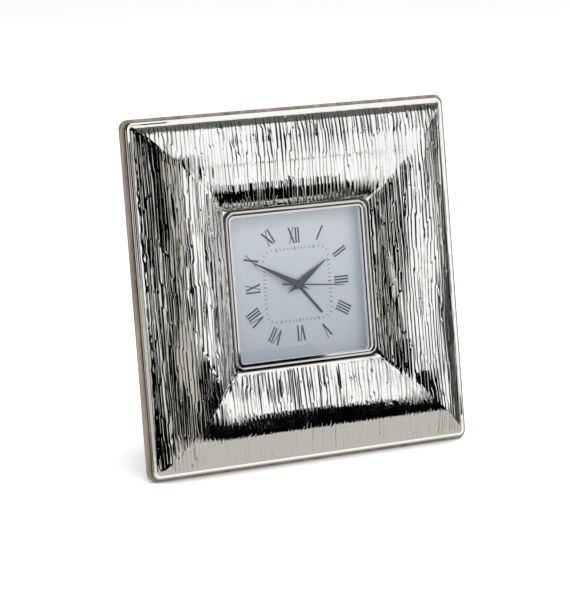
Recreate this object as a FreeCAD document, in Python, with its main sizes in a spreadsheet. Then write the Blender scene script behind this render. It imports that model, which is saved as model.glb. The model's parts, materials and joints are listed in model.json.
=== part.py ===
import FreeCAD, Part
import math
import os
import Sketcher

# A square table alarm clock: a quartz insert in a leaning moulding of silver sheet on a wooden back.
# Lengths are millimetres and angles degrees. Every piece is drawn with the frame upright and the
# clock's axis at the origin: X to the viewer's right, Z up the frame, -Y towards the viewer.
# A height is a distance in front of the back board's front face, so the pieces behind it have
# negative heights. The finished pieces are then leant back, and the lowest edge stands on Z = 0.

SIZES = {
    # stance
    "lean_angle": 10.0,
    "leg_open_angle": 20.0,
    # wooden back board
    "frame_side": 160.0,
    "board_thickness": 3.0,
    "board_margin": 1.3,
    "board_corner": 4.2,
    # moulding of silver sheet over its filler
    "sheet_thickness": 0.4,
    "moulding_corner": 3.0,
    "lip_width": 1.9,
    "lip_height": 2.2,
    "crown_rise": 11.0,
    "crown_inset": 18.7,
    "opening_side": 68.0,
    "opening_corner": 3.0,
    "bead_width": 1.8,
    "bead_rise": 0.5,
    "bead_foot": 2.9,
    # front of the clock insert
    "insert_gap": 0.3,
    "bezel_front": 3.0,
    "bezel_lip": 0.9,
    "bezel_lip_thickness": 0.5,
    "bezel_wall": 0.4,
    "crystal_gap": 0.1,
    "crystal_thickness": 1.0,
    "gasket_thickness": 0.2,
    "case_wall": 0.9,
    "case_plate": 1.2,
    "case_flange": 2.5,
    "rebate_gap": 0.2,
    "dial_gap": 0.1,
    "dial_thickness": 0.4,
    "dial_hole": 1.5,
    # hands
    "hand_thickness": 0.2,
    "hand_spacing": 0.5,
    "minute_hand_length": 27.9,
    "minute_hand_tail": 6.0,
    "minute_hand_width": 2.3,
    "hour_hand_length": 18.9,
    "hour_hand_tail": 6.6,
    "hour_hand_width": 2.7,
    "second_hand_length": 22.8,
    "second_hand_tail": 8.6,
    "second_hand_width": 0.6,
    "alarm_hand_length": 17.8,
    "alarm_hand_width": 0.9,
    "hub_radius": 1.9,
    "second_hub_radius": 1.3,
    "minute_hand_angle": 298.5,
    "hour_hand_angle": 56.0,
    "second_hand_angle": 96.0,
    "alarm_hand_angle": 141.0,
    # coaxial tubes of the hands
    "second_arbor_radius": 0.25,
    "tube_wall": 0.25,
    "running_gap": 0.05,
    # movement housing
    "module_side": 57.0,
    "module_corner": 4.0,
    "tray_wall": 1.2,
    "tray_plate": 1.2,
    "module_depth": 12.0,
    "cover_thickness": 1.2,
    "motion_depth": 4.2,
    "middle_plate_thickness": 1.0,
    "fit_gap": 0.2,
    "pivot_depth": 0.6,
    "pivot_radius": 0.4,
    # battery and its bay
    "battery_radius": 5.2,
    "battery_length": 43.5,
    "battery_nub_radius": 1.9,
    "battery_nub_length": 1.0,
    "battery_gap": 0.2,
    "bay_wall": 1.0,
    "contact_thickness": 0.3,
    "contact_side": 7.0,
    "contact_spring": 1.2,
    "door_travel": 6.0,
    "door_half_length": 23.3,
    "door_tongue_depth": 0.6,
    "door_tongue_thickness": 0.3,
    "door_rib_height": 0.4,
    "door_rib_width": 0.8,
    "door_rib_pitch": 2.0,
    # wheels
    "wheel_thickness": 0.6,
    "wheel_gap": 0.3,
    "mesh_overhang": 0.1,
    "train_gap": 0.5,
    "motion_distance": 6.0,
    "alarm_distance": 7.3,
    "alarm_knob_distance": 4.6,
    "third_distance": 7.2,
    "fifth_distance": 7.0,
    "rotor_distance": 6.0,
    "set_arbor_radius": 0.8,
    "rotor_magnet_radius": 2.2,
    "rotor_magnet_length": 1.5,
    "minute_wheel_bearing": -20.0,
    "alarm_idler_bearing": 200.0,
    "third_wheel_bearing": 150.0,
    "fifth_wheel_bearing": 60.0,
    # stepping motor
    "stator_thickness": 0.8,
    "stator_half_length": 13.5,
    "stator_bar_margin": 0.9,
    "stator_leg_width": 3.0,
    "stator_hole_gap": 0.6,
    "coil_height": 20.5,
    "coil_core_width": 2.4,
    "coil_half_length": 9.8,
    "coil_half_width": 3.0,
    "coil_half_depth": 1.7,
    "bobbin_wall": 0.4,
    "bobbin_flange": 0.8,
    "post_radius": 1.4,
    "stator_post_x": 12.0,
    # electronics
    "circuit_x": 21.5,
    "circuit_z": 2.0,
    "circuit_width": 11.0,
    "circuit_height": 26.0,
    "circuit_thickness": 0.8,
    "quartz_radius": 1.0,
    "quartz_length": 6.0,
    "quartz_offset": 3.5,
    "chip_radius": 2.6,
    "chip_height": 1.0,
    "chip_offset": 6.0,
    "buzzer_x": -20.5,
    "buzzer_z": 5.0,
    "buzzer_radius": 6.0,
    "buzzer_height": 4.0,
    "buzzer_hole_radius": 0.8,
    "buzzer_hole_depth": 1.0,
    # alarm contact leaf
    "leaf_thickness": 0.2,
    "leaf_width": 2.0,
    "leaf_near_x": 2.6,
    "leaf_far_x": 16.0,
    "leaf_z": 2.2,
    "leaf_post_radius": 1.0,
    # alarm switch
    "switch_x": -20.0,
    "switch_z": 16.0,
    "switch_nub_width": 2.6,
    "switch_nub_length": 3.0,
    "switch_nub_rise": 1.4,
    "switch_flange": 1.4,
    "switch_flange_thickness": 0.8,
    "switch_travel": 4.0,
    # setting knobs
    "knob_radius": 4.5,
    "knob_height": 4.0,
    "knob_gap": 0.3,
    "knob_notch": 0.35,
    "knob_collar_radius": 2.0,
    "knob_collar_height": 0.6,
    # long screws of the movement
    "module_screw_radius": 0.8,
    "module_screw_head_radius": 1.7,
    "module_screw_head_height": 1.0,
    "module_screw_inset": 3.2,
    "module_boss_radius": 2.4,
    "module_shoulder": 1.0,
    "screw_slot_width": 0.5,
    "screw_slot_depth": 0.5,
    # turn clips behind the insert
    "clip_width": 8.0,
    "clip_length": 13.0,
    "clip_thickness": 0.8,
    "clip_overlap": 2.5,
    "clip_screw_inset": 5.0,
    "clip_screw_radius": 1.2,
    "clip_screw_head_radius": 2.4,
    "clip_screw_head_height": 0.9,
    "clip_screw_depth": 2.4,
    "clip_hole_gap": 0.1,
    # easel leg and its hinge
    "hinge_rise": 58.0,
    "hinge_axis_drop": 2.0,
    "hinge_half_width": 18.0,
    "hinge_knuckle_radius": 1.9,
    "hinge_pin_radius": 1.0,
    "hinge_center_half": 9.0,
    "hinge_side_gap": 0.2,
    "hinge_leaf_thickness": 1.0,
    "hinge_leaf_length": 12.0,
    "hinge_leaf_start": 2.3,
    "hinge_stop_length": 4.0,
    "hinge_stop_half_width": 5.0,
    "hinge_stop_gap": 0.05,
    "hinge_pin_proud": 0.4,
    "hinge_screw_x": 12.5,
    "hinge_screw_inset": 7.5,
    "hinge_screw_radius": 0.9,
    "hinge_screw_head_radius": 1.9,
    "hinge_screw_head_height": 0.7,
    "hinge_screw_depth": 2.0,
    "leg_stand_off": 2.2,
    "leg_thickness": 4.5,
    "leg_top_half": 38.0,
    "leg_foot_half": 46.0,
    "leg_window_half": 31.0,
    "leg_window_top": 31.5,
    "leg_window_bottom": 36.5,
    "leg_window_corner": 4.0,
    # one overrun for all cuts
    "overrun": 1.0,
}

# Tooth counts. One turn of the second hand takes thirty of the rotor, and one of the minute hand
# takes sixty of the second hand.
ROTOR_LEAVES = 8
FIFTH_TEETH = 40
FIFTH_LEAVES = 8
SECOND_TEETH = 48
SECOND_LEAVES = 8
THIRD_TEETH = 60
THIRD_LEAVES = 8
CENTRE_TEETH = 64
CANNON_LEAVES = 12
MINUTE_TEETH = 36
MINUTE_LEAVES = 10
HOUR_TEETH = 40
ALARM_TEETH = 36
IDLER_TEETH = 30
SET_LEAVES = 12
KNOB_RIDGES = 24

# A tooth's height, and its half width as shares of the tooth pitch
ADDENDUM_SHARE = 0.8
DEDENDUM_SHARE = 1.15
TIP_SHARE = 0.07
ROOT_SHARE = 0.25
LEAF_TIP_SHARE = 0.08
LEAF_ROOT_SHARE = 0.21

# Where each hand is widest, from its hub, as a share of its width
HAND_SHOULDER_SHARE = 0.9

V = FreeCAD.Vector
ACROSS = V(1, 0, 0)
DEPTH = V(0, 1, 0)

doc = FreeCAD.newDocument("TableClock")
sheet = doc.addObject("Spreadsheet::Sheet", "Sizes")
for row, (alias, number) in enumerate(SIZES.items(), start=1):
    sheet.set(f"A{row}", alias)
    sheet.set(f"B{row}", str(number))
    sheet.setAlias(f"B{row}", alias)
doc.recompute()


class Size:
    """A number that keeps the spreadsheet expression it comes from."""

    def __init__(self, value, text):
        self.value = float(value)
        self.text = text

    def __add__(self, other):
        other = as_size(other)
        return Size(self.value + other.value, f"({self.text} + {other.text})")

    def __sub__(self, other):
        other = as_size(other)
        return Size(self.value - other.value, f"({self.text} - {other.text})")

    def __mul__(self, other):
        other = as_size(other)
        return Size(self.value * other.value, f"({self.text} * {other.text})")

    def __truediv__(self, other):
        other = as_size(other)
        return Size(self.value / other.value, f"({self.text} / {other.text})")

    def __neg__(self):
        return Size(-self.value, f"(0 - {self.text})")


def as_size(number):
    """A plain number as a Size of its own."""
    if isinstance(number, Size):
        return number
    return Size(number, repr(number))


def size(alias):
    """The named cell of the spreadsheet."""
    return Size(SIZES[alias], f"Sizes.{alias}")


def cosine(angle):
    return Size(math.cos(math.radians(angle.value)), f"cos({angle.text} * 1 deg)")


def sine(angle):
    return Size(math.sin(math.radians(angle.value)), f"sin({angle.text} * 1 deg)")


def bind(item, name, length):
    """Ties one property of a document object to the spreadsheet."""
    item.setExpression(name, as_size(length).text)


OVERRUN = size("overrun")

# Places that several pieces share
FRAME_HALF = size("frame_side") / 2
SILVER_HALF = FRAME_HALF - size("board_margin")
BOARD_BACK = -size("board_thickness")
OPENING_HALF = size("opening_side") / 2
CROWN_HEIGHT = size("lip_height") + size("crown_rise")
CROWN_OFFSET = SILVER_HALF - size("crown_inset")
INSERT_HALF = OPENING_HALF - size("insert_gap")
INSERT_CORNER = size("opening_corner") - size("insert_gap")
CRYSTAL_FRONT = size("bezel_front") - size("bezel_lip_thickness")
CRYSTAL_BACK = CRYSTAL_FRONT - size("crystal_thickness")
GASKET_BACK = CRYSTAL_BACK - size("gasket_thickness")
CRYSTAL_HALF = INSERT_HALF - size("bezel_wall") - size("crystal_gap")
CASE_HALF_INSIDE = INSERT_HALF - size("case_wall")
CASE_CORNER_INSIDE = INSERT_CORNER - size("case_wall")
CASE_PLATE_FRONT = BOARD_BACK + size("case_plate")
DIAL_FRONT = CASE_PLATE_FRONT + size("dial_thickness")
DIAL_HALF = CASE_HALF_INSIDE - size("dial_gap")
FLANGE_HALF = OPENING_HALF + size("case_flange")
TRAY_INNER = BOARD_BACK - size("tray_plate")
MIDDLE_FRONT = TRAY_INNER - size("motion_depth")
MIDDLE_BACK = MIDDLE_FRONT - size("middle_plate_thickness")
COVER_FRONT = BOARD_BACK - size("module_depth")
COVER_BACK = COVER_FRONT - size("cover_thickness")
MODULE_HALF = size("module_side") / 2
MODULE_INSIDE = MODULE_HALF - size("tray_wall")

# Radii of the coaxial tubes, from the middle out
CANNON_BORE = size("second_arbor_radius") + size("running_gap")
CANNON_RADIUS = CANNON_BORE + size("tube_wall")
HOUR_BORE = CANNON_RADIUS + size("running_gap")
HOUR_RADIUS = HOUR_BORE + size("tube_wall")
ALARM_BORE = HOUR_RADIUS + size("running_gap")
ALARM_RADIUS = ALARM_BORE + size("tube_wall")
TUBE_HOLE = ALARM_RADIUS + size("running_gap")
PIVOT_HOLE = size("pivot_radius") + size("running_gap")
SET_HOLE = size("set_arbor_radius") + size("running_gap")

# Backs of the four hands, each one spacing in front of the last
ALARM_HAND_BACK = DIAL_FRONT + size("hand_spacing")
HOUR_HAND_BACK = ALARM_HAND_BACK + size("hand_spacing")
MINUTE_HAND_BACK = HOUR_HAND_BACK + size("hand_spacing")
SECOND_HAND_BACK = MINUTE_HAND_BACK + size("hand_spacing")

# Heights of the wheels, from the dial side to the back
WHEEL = size("wheel_thickness")
ALARM_WHEEL_BACK = TRAY_INNER - size("wheel_gap") - WHEEL
HOUR_WHEEL_BACK = ALARM_WHEEL_BACK - size("wheel_gap") - WHEEL
LEAF_BACK = HOUR_WHEEL_BACK - size("mesh_overhang") - size("leaf_thickness")
MINUTE_WHEEL_BACK = MIDDLE_FRONT + size("wheel_gap")
CENTRE_WHEEL_BACK = MIDDLE_BACK - size("wheel_gap") - WHEEL
THIRD_WHEEL_BACK = CENTRE_WHEEL_BACK - size("train_gap") - WHEEL
SECOND_WHEEL_BACK = THIRD_WHEEL_BACK - size("train_gap") - WHEEL
FIFTH_WHEEL_BACK = SECOND_WHEEL_BACK - size("train_gap") - WHEEL
STATOR_FRONT = THIRD_WHEEL_BACK - size("train_gap")
STATOR_BACK = STATOR_FRONT - size("stator_thickness")
CORE_BACK = STATOR_BACK - size("stator_thickness")
COIL_MIDDLE = STATOR_BACK - size("stator_thickness") / 2

# Battery bay, along the lower edge of the housing
BATTERY_Z = size("battery_radius") + size("battery_gap") - MODULE_INSIDE
BATTERY_HEIGHT = TRAY_INNER - size("battery_radius") - size("battery_gap")
BAY_TOP = BATTERY_Z + size("battery_radius") + size("battery_gap")
BAY_WALL_TOP = BAY_TOP + size("bay_wall")
BATTERY_LEFT = -(size("battery_length") + size("battery_nub_length")) / 2
BATTERY_RIGHT = BATTERY_LEFT + size("battery_length")
NUB_RIGHT = BATTERY_RIGHT + size("battery_nub_length")
PLUS_RIGHT = NUB_RIGHT + size("contact_thickness")
MINUS_LEFT = BATTERY_LEFT - size("contact_spring")
DOOR_TOP = BAY_TOP

# Hinge axis of the easel leg, on the frame's back
HINGE_HEIGHT = BOARD_BACK - size("hinge_axis_drop")
LEG_FRONT = BOARD_BACK - size("leg_stand_off")
LEG_BACK = LEG_FRONT - size("leg_thickness")
# Depth of the stop's front behind the hinge axis: it closes on the back of the frame's leaf
LEG_FRONT_STOP = HINGE_HEIGHT - BOARD_BACK + size("hinge_leaf_thickness") + size("hinge_stop_gap")


def stance_placement():
    """Leans the upright frame back, stands it on the floor and centres its depth on the origin."""
    lean = math.radians(SIZES["lean_angle"])
    splay = math.radians(SIZES["leg_open_angle"] - SIZES["lean_angle"])
    turn = FreeCAD.Rotation(ACROSS, -SIZES["lean_angle"])
    rise = FRAME_HALF.value * math.cos(lean)
    crown_radius = outer_crown_radius(as_size(0)).value
    reach = CROWN_OFFSET.value * math.sin(lean) + crown_radius
    front = -reach - (CROWN_HEIGHT.value - crown_radius) * math.cos(lean)
    hinge = turn.multVec(V(0, -HINGE_HEIGHT.value, SIZES["hinge_rise"]))
    leg_depth = HINGE_HEIGHT.value - LEG_BACK.value
    leg_reach = (hinge.z + rise + leg_depth * math.sin(splay)) / math.cos(splay)
    back = hinge.y + leg_reach * math.sin(splay) + leg_depth * math.cos(splay)
    return FreeCAD.Placement(V(0, -(front + back) / 2, rise), turn)


def crown_arc_radius(run, drop):
    """The radius of an arc that is level at the crown and falls by drop over run."""
    return (run * run + drop * drop) / (drop * 2)


def outer_crown_radius(inset):
    run = SILVER_HALF - size("lip_width") - CROWN_OFFSET - inset
    return crown_arc_radius(run, size("crown_rise"))


STANCE = stance_placement()
HINGE_POINT = V(0, -HINGE_HEIGHT.value, SIZES["hinge_rise"])
LEG_STANCE = STANCE.multiply(
    FreeCAD.Placement(V(0, 0, 0), FreeCAD.Rotation(ACROSS, SIZES["leg_open_angle"]), HINGE_POINT)
)

pieces = {}


def keep(item, name):
    """Marks a document object as one finished piece."""
    item.Label = name
    pieces[name] = item
    return item


def vertex_position(sketch, geometry, place):
    """Which end of a sketch element lies at the given place."""
    if sketch.getPoint(geometry, 1).distanceToPoint(place) < sketch.getPoint(geometry, 2).distanceToPoint(place):
        return 1
    return 2


def constrain(sketch, kind, references, length):
    """Adds one driving constraint, tied to the spreadsheet."""
    length = as_size(length)
    index = sketch.addConstraint(Sketcher.Constraint(kind, *references, length.value))
    if "Sizes" in length.text:
        sketch.setExpression(f"Constraints[{index}]", length.text)


def draw_outline(sketch, points):
    """Draws a closed outline. A point is (x, y), or (x, y, radius, side) where an arc leads on from it.

    The arc bulges to the left of the way the outline runs where side is 1, and to the right at -1.
    """
    places = [V(as_size(point[0]).value, as_size(point[1]).value, 0) for point in points]
    first = sketch.GeometryCount
    for index, point in enumerate(points):
        start = places[index]
        end = places[(index + 1) % len(points)]
        if len(point) == 2:
            sketch.addGeometry(Part.LineSegment(start, end))
            continue
        chord = end - start
        radius = point[2].value
        half = chord.Length / 2
        rise = radius - math.sqrt(max(radius * radius - half * half, 0.0))
        left = V(-chord.y, chord.x, 0).normalize()
        middle = (start + end) / 2 + left * (rise * point[3])
        sketch.addGeometry(Part.Arc(start, middle, end))
    for index, point in enumerate(points):
        geometry = first + index
        before = first + (index - 1) % len(points)
        end = vertex_position(sketch, geometry, places[index])
        other = vertex_position(sketch, before, places[index])
        sketch.addConstraint(Sketcher.Constraint("Coincident", geometry, end, before, other))
        constrain(sketch, "DistanceX", (-1, 1, geometry, end), point[0])
        constrain(sketch, "DistanceY", (-1, 1, geometry, end), point[1])
        if len(point) > 2:
            constrain(sketch, "Radius", (geometry,), point[2])


def draw_circle(sketch, radius, across, up):
    """Draws a circle about a place on the sketch."""
    place = V(as_size(across).value, as_size(up).value, 0)
    geometry = sketch.addGeometry(Part.Circle(place, V(0, 0, 1), radius.value))
    constrain(sketch, "Radius", (geometry,), radius)
    constrain(sketch, "DistanceX", (-1, 1, geometry, 3), across)
    constrain(sketch, "DistanceY", (-1, 1, geometry, 3), up)


def rounded(half_width, half_height, corner, across=0, up=0):
    """The points of a rectangle with round corners."""
    left = as_size(across) - half_width
    right = as_size(across) + half_width
    low = as_size(up) - half_height
    high = as_size(up) + half_height
    return [
        (left + corner, low),
        (right - corner, low, corner, -1),
        (right, low + corner),
        (right, high - corner, corner, -1),
        (right - corner, high),
        (left + corner, high, corner, -1),
        (left, high - corner),
        (left, low + corner, corner, -1),
    ]


def rectangle(left, right, low, high):
    """The points of a plain rectangle."""
    return [(left, low), (right, low), (right, high), (left, high)]


def disc(radius, across=0, up=0):
    """A circle, as a drawing for a pad or a cut."""
    return ("circle", radius, across, up)


class Piece:
    """One solid piece as a body of sketches and features."""

    def __init__(self, name, across=0, up=0, turn=0.0, stance=None, hidden=False):
        self.body = doc.addObject("PartDesign::Body", name)
        self.body.Label = name
        place = V(as_size(across).value, 0, as_size(up).value)
        own = FreeCAD.Placement(place, FreeCAD.Rotation(DEPTH, turn))
        self.body.Placement = (stance or STANCE).multiply(own)
        if not hidden:
            keep(self.body, name)

    def sketch(self, role, height=None):
        """A sketch on one of the body's origin planes, moved out by a height."""
        sketch = self.body.newObject("Sketcher::SketchObject", "Outline")
        plane = [item for item in self.body.Origin.OriginFeatures if item.Role == role][0]
        sketch.AttachmentSupport = [(plane, "")]
        sketch.MapMode = "FlatFace"
        if height is not None:
            bind(sketch, "AttachmentOffset.Base.z", height)
        return sketch

    def draw(self, drawings, role, height):
        sketch = self.sketch(role, height)
        for drawing in drawings:
            if drawing[0] == "circle":
                draw_circle(sketch, *drawing[1:])
            else:
                draw_outline(sketch, drawing)
        return sketch

    def pad(self, drawings, back, thickness):
        """Adds material from a height at the back towards the viewer."""
        feature = self.body.newObject("PartDesign::Pad", "Pad")
        feature.Profile = self.draw(drawings, "XZ_Plane", back)
        bind(feature, "Length", thickness)
        return self

    def cut(self, drawings, back, depth):
        """Takes material away from a height at the back towards the viewer."""
        feature = self.body.newObject("PartDesign::Pocket", "Cut")
        feature.Profile = self.draw(drawings, "XZ_Plane", back)
        feature.Reversed = True
        bind(feature, "Length", depth)
        return self

    def pad_across(self, drawing, length):
        """Adds an outline of depth and height right across the piece, both ways from its middle."""
        feature = self.body.newObject("PartDesign::Pad", "PadAcross")
        feature.Profile = self.draw([drawing], "YZ_Plane", None)
        feature.Midplane = True
        bind(feature, "Length", length)
        return self

    def cut_across(self, drawing, length):
        """Cuts an outline of depth and height right across the piece, both ways from its middle."""
        feature = self.body.newObject("PartDesign::Pocket", "CutAcross")
        feature.Profile = self.draw([drawing], "YZ_Plane", None)
        feature.Midplane = True
        bind(feature, "Length", length)
        return self

    def turned(self, profile):
        """Turns a profile of (radius, height) points about the piece's own axis."""
        feature = self.body.newObject("PartDesign::Revolution", "Turned")
        sketch = self.draw([[(radius, -as_size(height)) for radius, height in profile]], "XY_Plane", None)
        feature.Profile = sketch
        feature.ReferenceAxis = (sketch, ["V_Axis"])
        feature.Angle = 360.0
        return self


def polar(distance, bearing):
    """The place at a distance from the clock's axis, on a bearing from the right."""
    return distance * cosine(bearing), distance * sine(bearing)


def group(name, members):
    """Gathers identical pieces into one node of separate solids."""
    compound = doc.addObject("Part::Compound", name)
    compound.Links = members
    return keep(compound, name)


def screw(name, across, up, tip, head_back, shank, head, head_height, stance=None, sign=1):
    """A pan-head screw with a slot. Its head faces the back where sign is 1, else the front."""
    piece = Piece(name, across, up, stance=stance, hidden=True)
    head_top = head_back - head_height * sign
    piece.turned([(0, tip), (shank, tip), (shank, head_back), (head, head_back), (head, head_top), (0, head_top)])
    slot = size("screw_slot_width") / 2
    slot_back = head_top - OVERRUN
    if sign < 0:
        slot_back = head_top - size("screw_slot_depth")
    slot_outline = rectangle(-slot, slot, -head - OVERRUN, head + OVERRUN)
    piece.cut([slot_outline], slot_back, size("screw_slot_depth") + OVERRUN)
    return piece.body


def moulding_profile(inset, beaded):
    """The moulding's section, as (depth, height) points of its lower member, drawn in by an inset."""
    outer = SILVER_HALF - inset
    lip_top = size("lip_height") - inset
    crown_top = CROWN_HEIGHT - inset
    shoulder = outer - size("lip_width")
    inner = OPENING_HALF + inset
    bead_top = size("bead_foot") - inset
    bead_outer = inner + size("bead_width")
    fill = inner - size("opening_corner") / 2
    inner_radius = crown_arc_radius(CROWN_OFFSET - bead_outer, crown_top - bead_top)
    bead = (-bead_top, -bead_outer)
    if beaded:
        bead += (crown_arc_radius(size("bead_width") / 2, size("bead_rise")), 1)
    return [
        (0, -fill),
        (0, -outer),
        (-lip_top, -outer),
        (-lip_top, -shoulder, outer_crown_radius(inset), 1),
        (-crown_top, -CROWN_OFFSET, inner_radius, 1),
        bead,
        (-bead_top, -inner),
        (-bead_top, -fill),
    ]


def moulding(name, inset, hidden):
    """The moulding swept round the frame with mitred corners, then rounded outside and in."""
    piece = Piece(name, hidden=hidden)
    track = piece.sketch("XZ_Plane")
    ends = [(0, -CROWN_OFFSET), (CROWN_OFFSET, -CROWN_OFFSET), (CROWN_OFFSET, CROWN_OFFSET)]
    ends += [(-CROWN_OFFSET, CROWN_OFFSET), (-CROWN_OFFSET, -CROWN_OFFSET)]
    draw_outline(track, ends)
    section = piece.sketch("YZ_Plane")
    draw_outline(section, moulding_profile(inset, hidden))
    sweep = piece.body.newObject("PartDesign::AdditivePipe", "Moulding")
    sweep.Profile = section
    sweep.Spine = (track, [])
    sweep.Transition = "Right corner"
    outer = SILVER_HALF - inset
    beyond = outer + OVERRUN
    corner = size("moulding_corner") - inset
    opening = OPENING_HALF + inset
    height = CROWN_HEIGHT + OVERRUN * 2
    rim = [rounded(outer, outer, corner), rectangle(-beyond, beyond, -beyond, beyond)]
    piece.cut(rim, -OVERRUN, height)
    piece.cut([rounded(opening, opening, size("opening_corner") + inset)], -OVERRUN, height)
    return piece


def build_frame_mouldings():
    core = moulding("frame_core", size("sheet_thickness"), hidden=False)
    blank = moulding("SilverBlank", as_size(0), hidden=True)
    shell = doc.addObject("Part::Cut", "frame_shell")
    shell.Base = blank.body
    shell.Tool = core.body
    keep(shell, "frame_shell")


def clip_places():
    """Where the four turn clips are screwed: (across, up, turn) of each, going round."""
    reach = FLANGE_HALF - size("clip_overlap") + size("clip_length") - size("clip_screw_inset")
    return [(0, reach, 0.0), (reach, 0, 90.0), (0, -reach, 180.0), (-reach, 0, 270.0)]


def hinge_screw_places():
    """Where the frame leaf of the hinge is screwed."""
    up = size("hinge_rise") + size("hinge_leaf_start") + size("hinge_screw_inset")
    return [(-size("hinge_screw_x"), up), (size("hinge_screw_x"), up)]


def build_back_board():
    piece = Piece("back_board")
    corner = size("board_corner")
    piece.pad([rounded(FRAME_HALF, FRAME_HALF, corner)], BOARD_BACK, size("board_thickness"))
    through = size("board_thickness") + OVERRUN * 2
    opening = rounded(OPENING_HALF, OPENING_HALF, size("opening_corner"))
    piece.cut([opening], BOARD_BACK - OVERRUN, through)
    rebate = FLANGE_HALF + size("rebate_gap")
    seat = rounded(rebate, rebate, size("opening_corner") + size("case_flange"))
    piece.cut([seat], BOARD_BACK - OVERRUN, size("case_plate") + OVERRUN)
    foot_depth = size("board_thickness") + OVERRUN
    slope = sine(size("lean_angle")) / cosine(size("lean_angle"))
    bevel = [
        (0, -FRAME_HALF),
        (foot_depth, foot_depth * slope - FRAME_HALF),
        (foot_depth, -FRAME_HALF - OVERRUN),
        (0, -FRAME_HALF - OVERRUN),
    ]
    piece.cut_across(bevel, size("frame_side") + OVERRUN * 2)
    clip_holes = [disc(size("clip_screw_radius"), across, up) for across, up, turn in clip_places()]
    piece.cut(clip_holes, BOARD_BACK - OVERRUN, size("clip_screw_depth") + OVERRUN)
    hinge_holes = [disc(size("hinge_screw_radius"), across, up) for across, up in hinge_screw_places()]
    piece.cut(hinge_holes, BOARD_BACK - OVERRUN, size("hinge_screw_depth") + OVERRUN)


def build_insert_front():
    """Bezel, glass, gasket, cup and dial."""
    bezel = Piece("bezel")
    outside = rounded(INSERT_HALF, INSERT_HALF, INSERT_CORNER)
    bezel.pad([outside], GASKET_BACK, size("bezel_front") - GASKET_BACK)
    recess_half = CRYSTAL_HALF + size("crystal_gap")
    recess = rounded(recess_half, recess_half, INSERT_CORNER - size("bezel_wall"))
    bezel.cut([recess], GASKET_BACK - OVERRUN, CRYSTAL_FRONT - GASKET_BACK + OVERRUN)
    window_half = INSERT_HALF - size("bezel_lip")
    window = rounded(window_half, window_half, INSERT_CORNER - size("bezel_lip"))
    bezel.cut([window], CRYSTAL_FRONT - OVERRUN, size("bezel_lip_thickness") + OVERRUN * 2)

    crystal_corner = INSERT_CORNER - size("bezel_wall") - size("crystal_gap")
    glass = rounded(CRYSTAL_HALF, CRYSTAL_HALF, crystal_corner)
    Piece("crystal").pad([glass], CRYSTAL_BACK, size("crystal_thickness"))
    inner = rounded(CASE_HALF_INSIDE, CASE_HALF_INSIDE, CASE_CORNER_INSIDE)
    Piece("crystal_gasket").pad([glass, inner], GASKET_BACK, size("gasket_thickness"))

    case = Piece("insert_case")
    flange = rounded(FLANGE_HALF, FLANGE_HALF, size("opening_corner") + size("case_flange"))
    case.pad([flange], BOARD_BACK, size("case_plate"))
    case.pad([outside, inner], CASE_PLATE_FRONT, GASKET_BACK - CASE_PLATE_FRONT)
    case.cut([disc(size("dial_hole"))], BOARD_BACK - OVERRUN, size("case_plate") + OVERRUN * 2)
    holes = [disc(size("module_screw_radius"), across, up) for across, up in module_screw_places()]
    case.cut(holes, BOARD_BACK - OVERRUN, size("case_plate") / 2 + OVERRUN)

    dial = Piece("dial")
    dial_corner = CASE_CORNER_INSIDE - size("dial_gap")
    dial.pad([rounded(DIAL_HALF, DIAL_HALF, dial_corner)], CASE_PLATE_FRONT, size("dial_thickness"))
    dial.cut([disc(size("dial_hole"))], CASE_PLATE_FRONT - OVERRUN, size("dial_thickness") + OVERRUN * 2)


def dauphine(length, tail, width):
    """A long kite: widest just above the hub, running to a point at both ends."""
    shoulder = width * HAND_SHOULDER_SHARE
    return [(0, -tail), (width / 2, shoulder), (0, length), (-width / 2, shoulder)]


def build_hand(name, outline, back, hub, bore, turn):
    piece = Piece(name, turn=turn)
    piece.pad([outline], back, size("hand_thickness"))
    piece.pad([disc(hub)], back, size("hand_thickness"))
    if bore is not None:
        piece.cut([disc(bore)], back - OVERRUN, size("hand_thickness") + OVERRUN * 2)


def build_hands():
    hub = size("hub_radius")
    minute = dauphine(size("minute_hand_length"), size("minute_hand_tail"), size("minute_hand_width"))
    hour = dauphine(size("hour_hand_length"), size("hour_hand_tail"), size("hour_hand_width"))
    half = size("alarm_hand_width") / 2
    alarm = rectangle(-half, half, 0, size("alarm_hand_length"))
    root = size("second_hand_width") / 2
    tip = root / 2
    second = [
        (-root, -size("second_hand_tail")),
        (root, -size("second_hand_tail")),
        (root, 0),
        (tip, size("second_hand_length")),
        (-tip, size("second_hand_length")),
        (-root, 0),
    ]
    build_hand("alarm_hand", alarm, ALARM_HAND_BACK, hub, ALARM_RADIUS, SIZES["alarm_hand_angle"])
    build_hand("hour_hand", hour, HOUR_HAND_BACK, hub, HOUR_RADIUS, SIZES["hour_hand_angle"])
    build_hand("minute_hand", minute, MINUTE_HAND_BACK, hub, CANNON_RADIUS, SIZES["minute_hand_angle"])
    second_hub = size("second_hub_radius")
    turn = SIZES["second_hand_angle"]
    bore = size("second_arbor_radius")
    build_hand("second_hand", second, SECOND_HAND_BACK, second_hub, bore, turn)


def module_screw_places():
    """The four corners of the movement that its long screws pass through."""
    high = MODULE_HALF - size("module_screw_inset")
    low = BAY_WALL_TOP + size("module_boss_radius") / 2
    return [(-high, low), (high, low), (-high, high), (high, high)]


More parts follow.
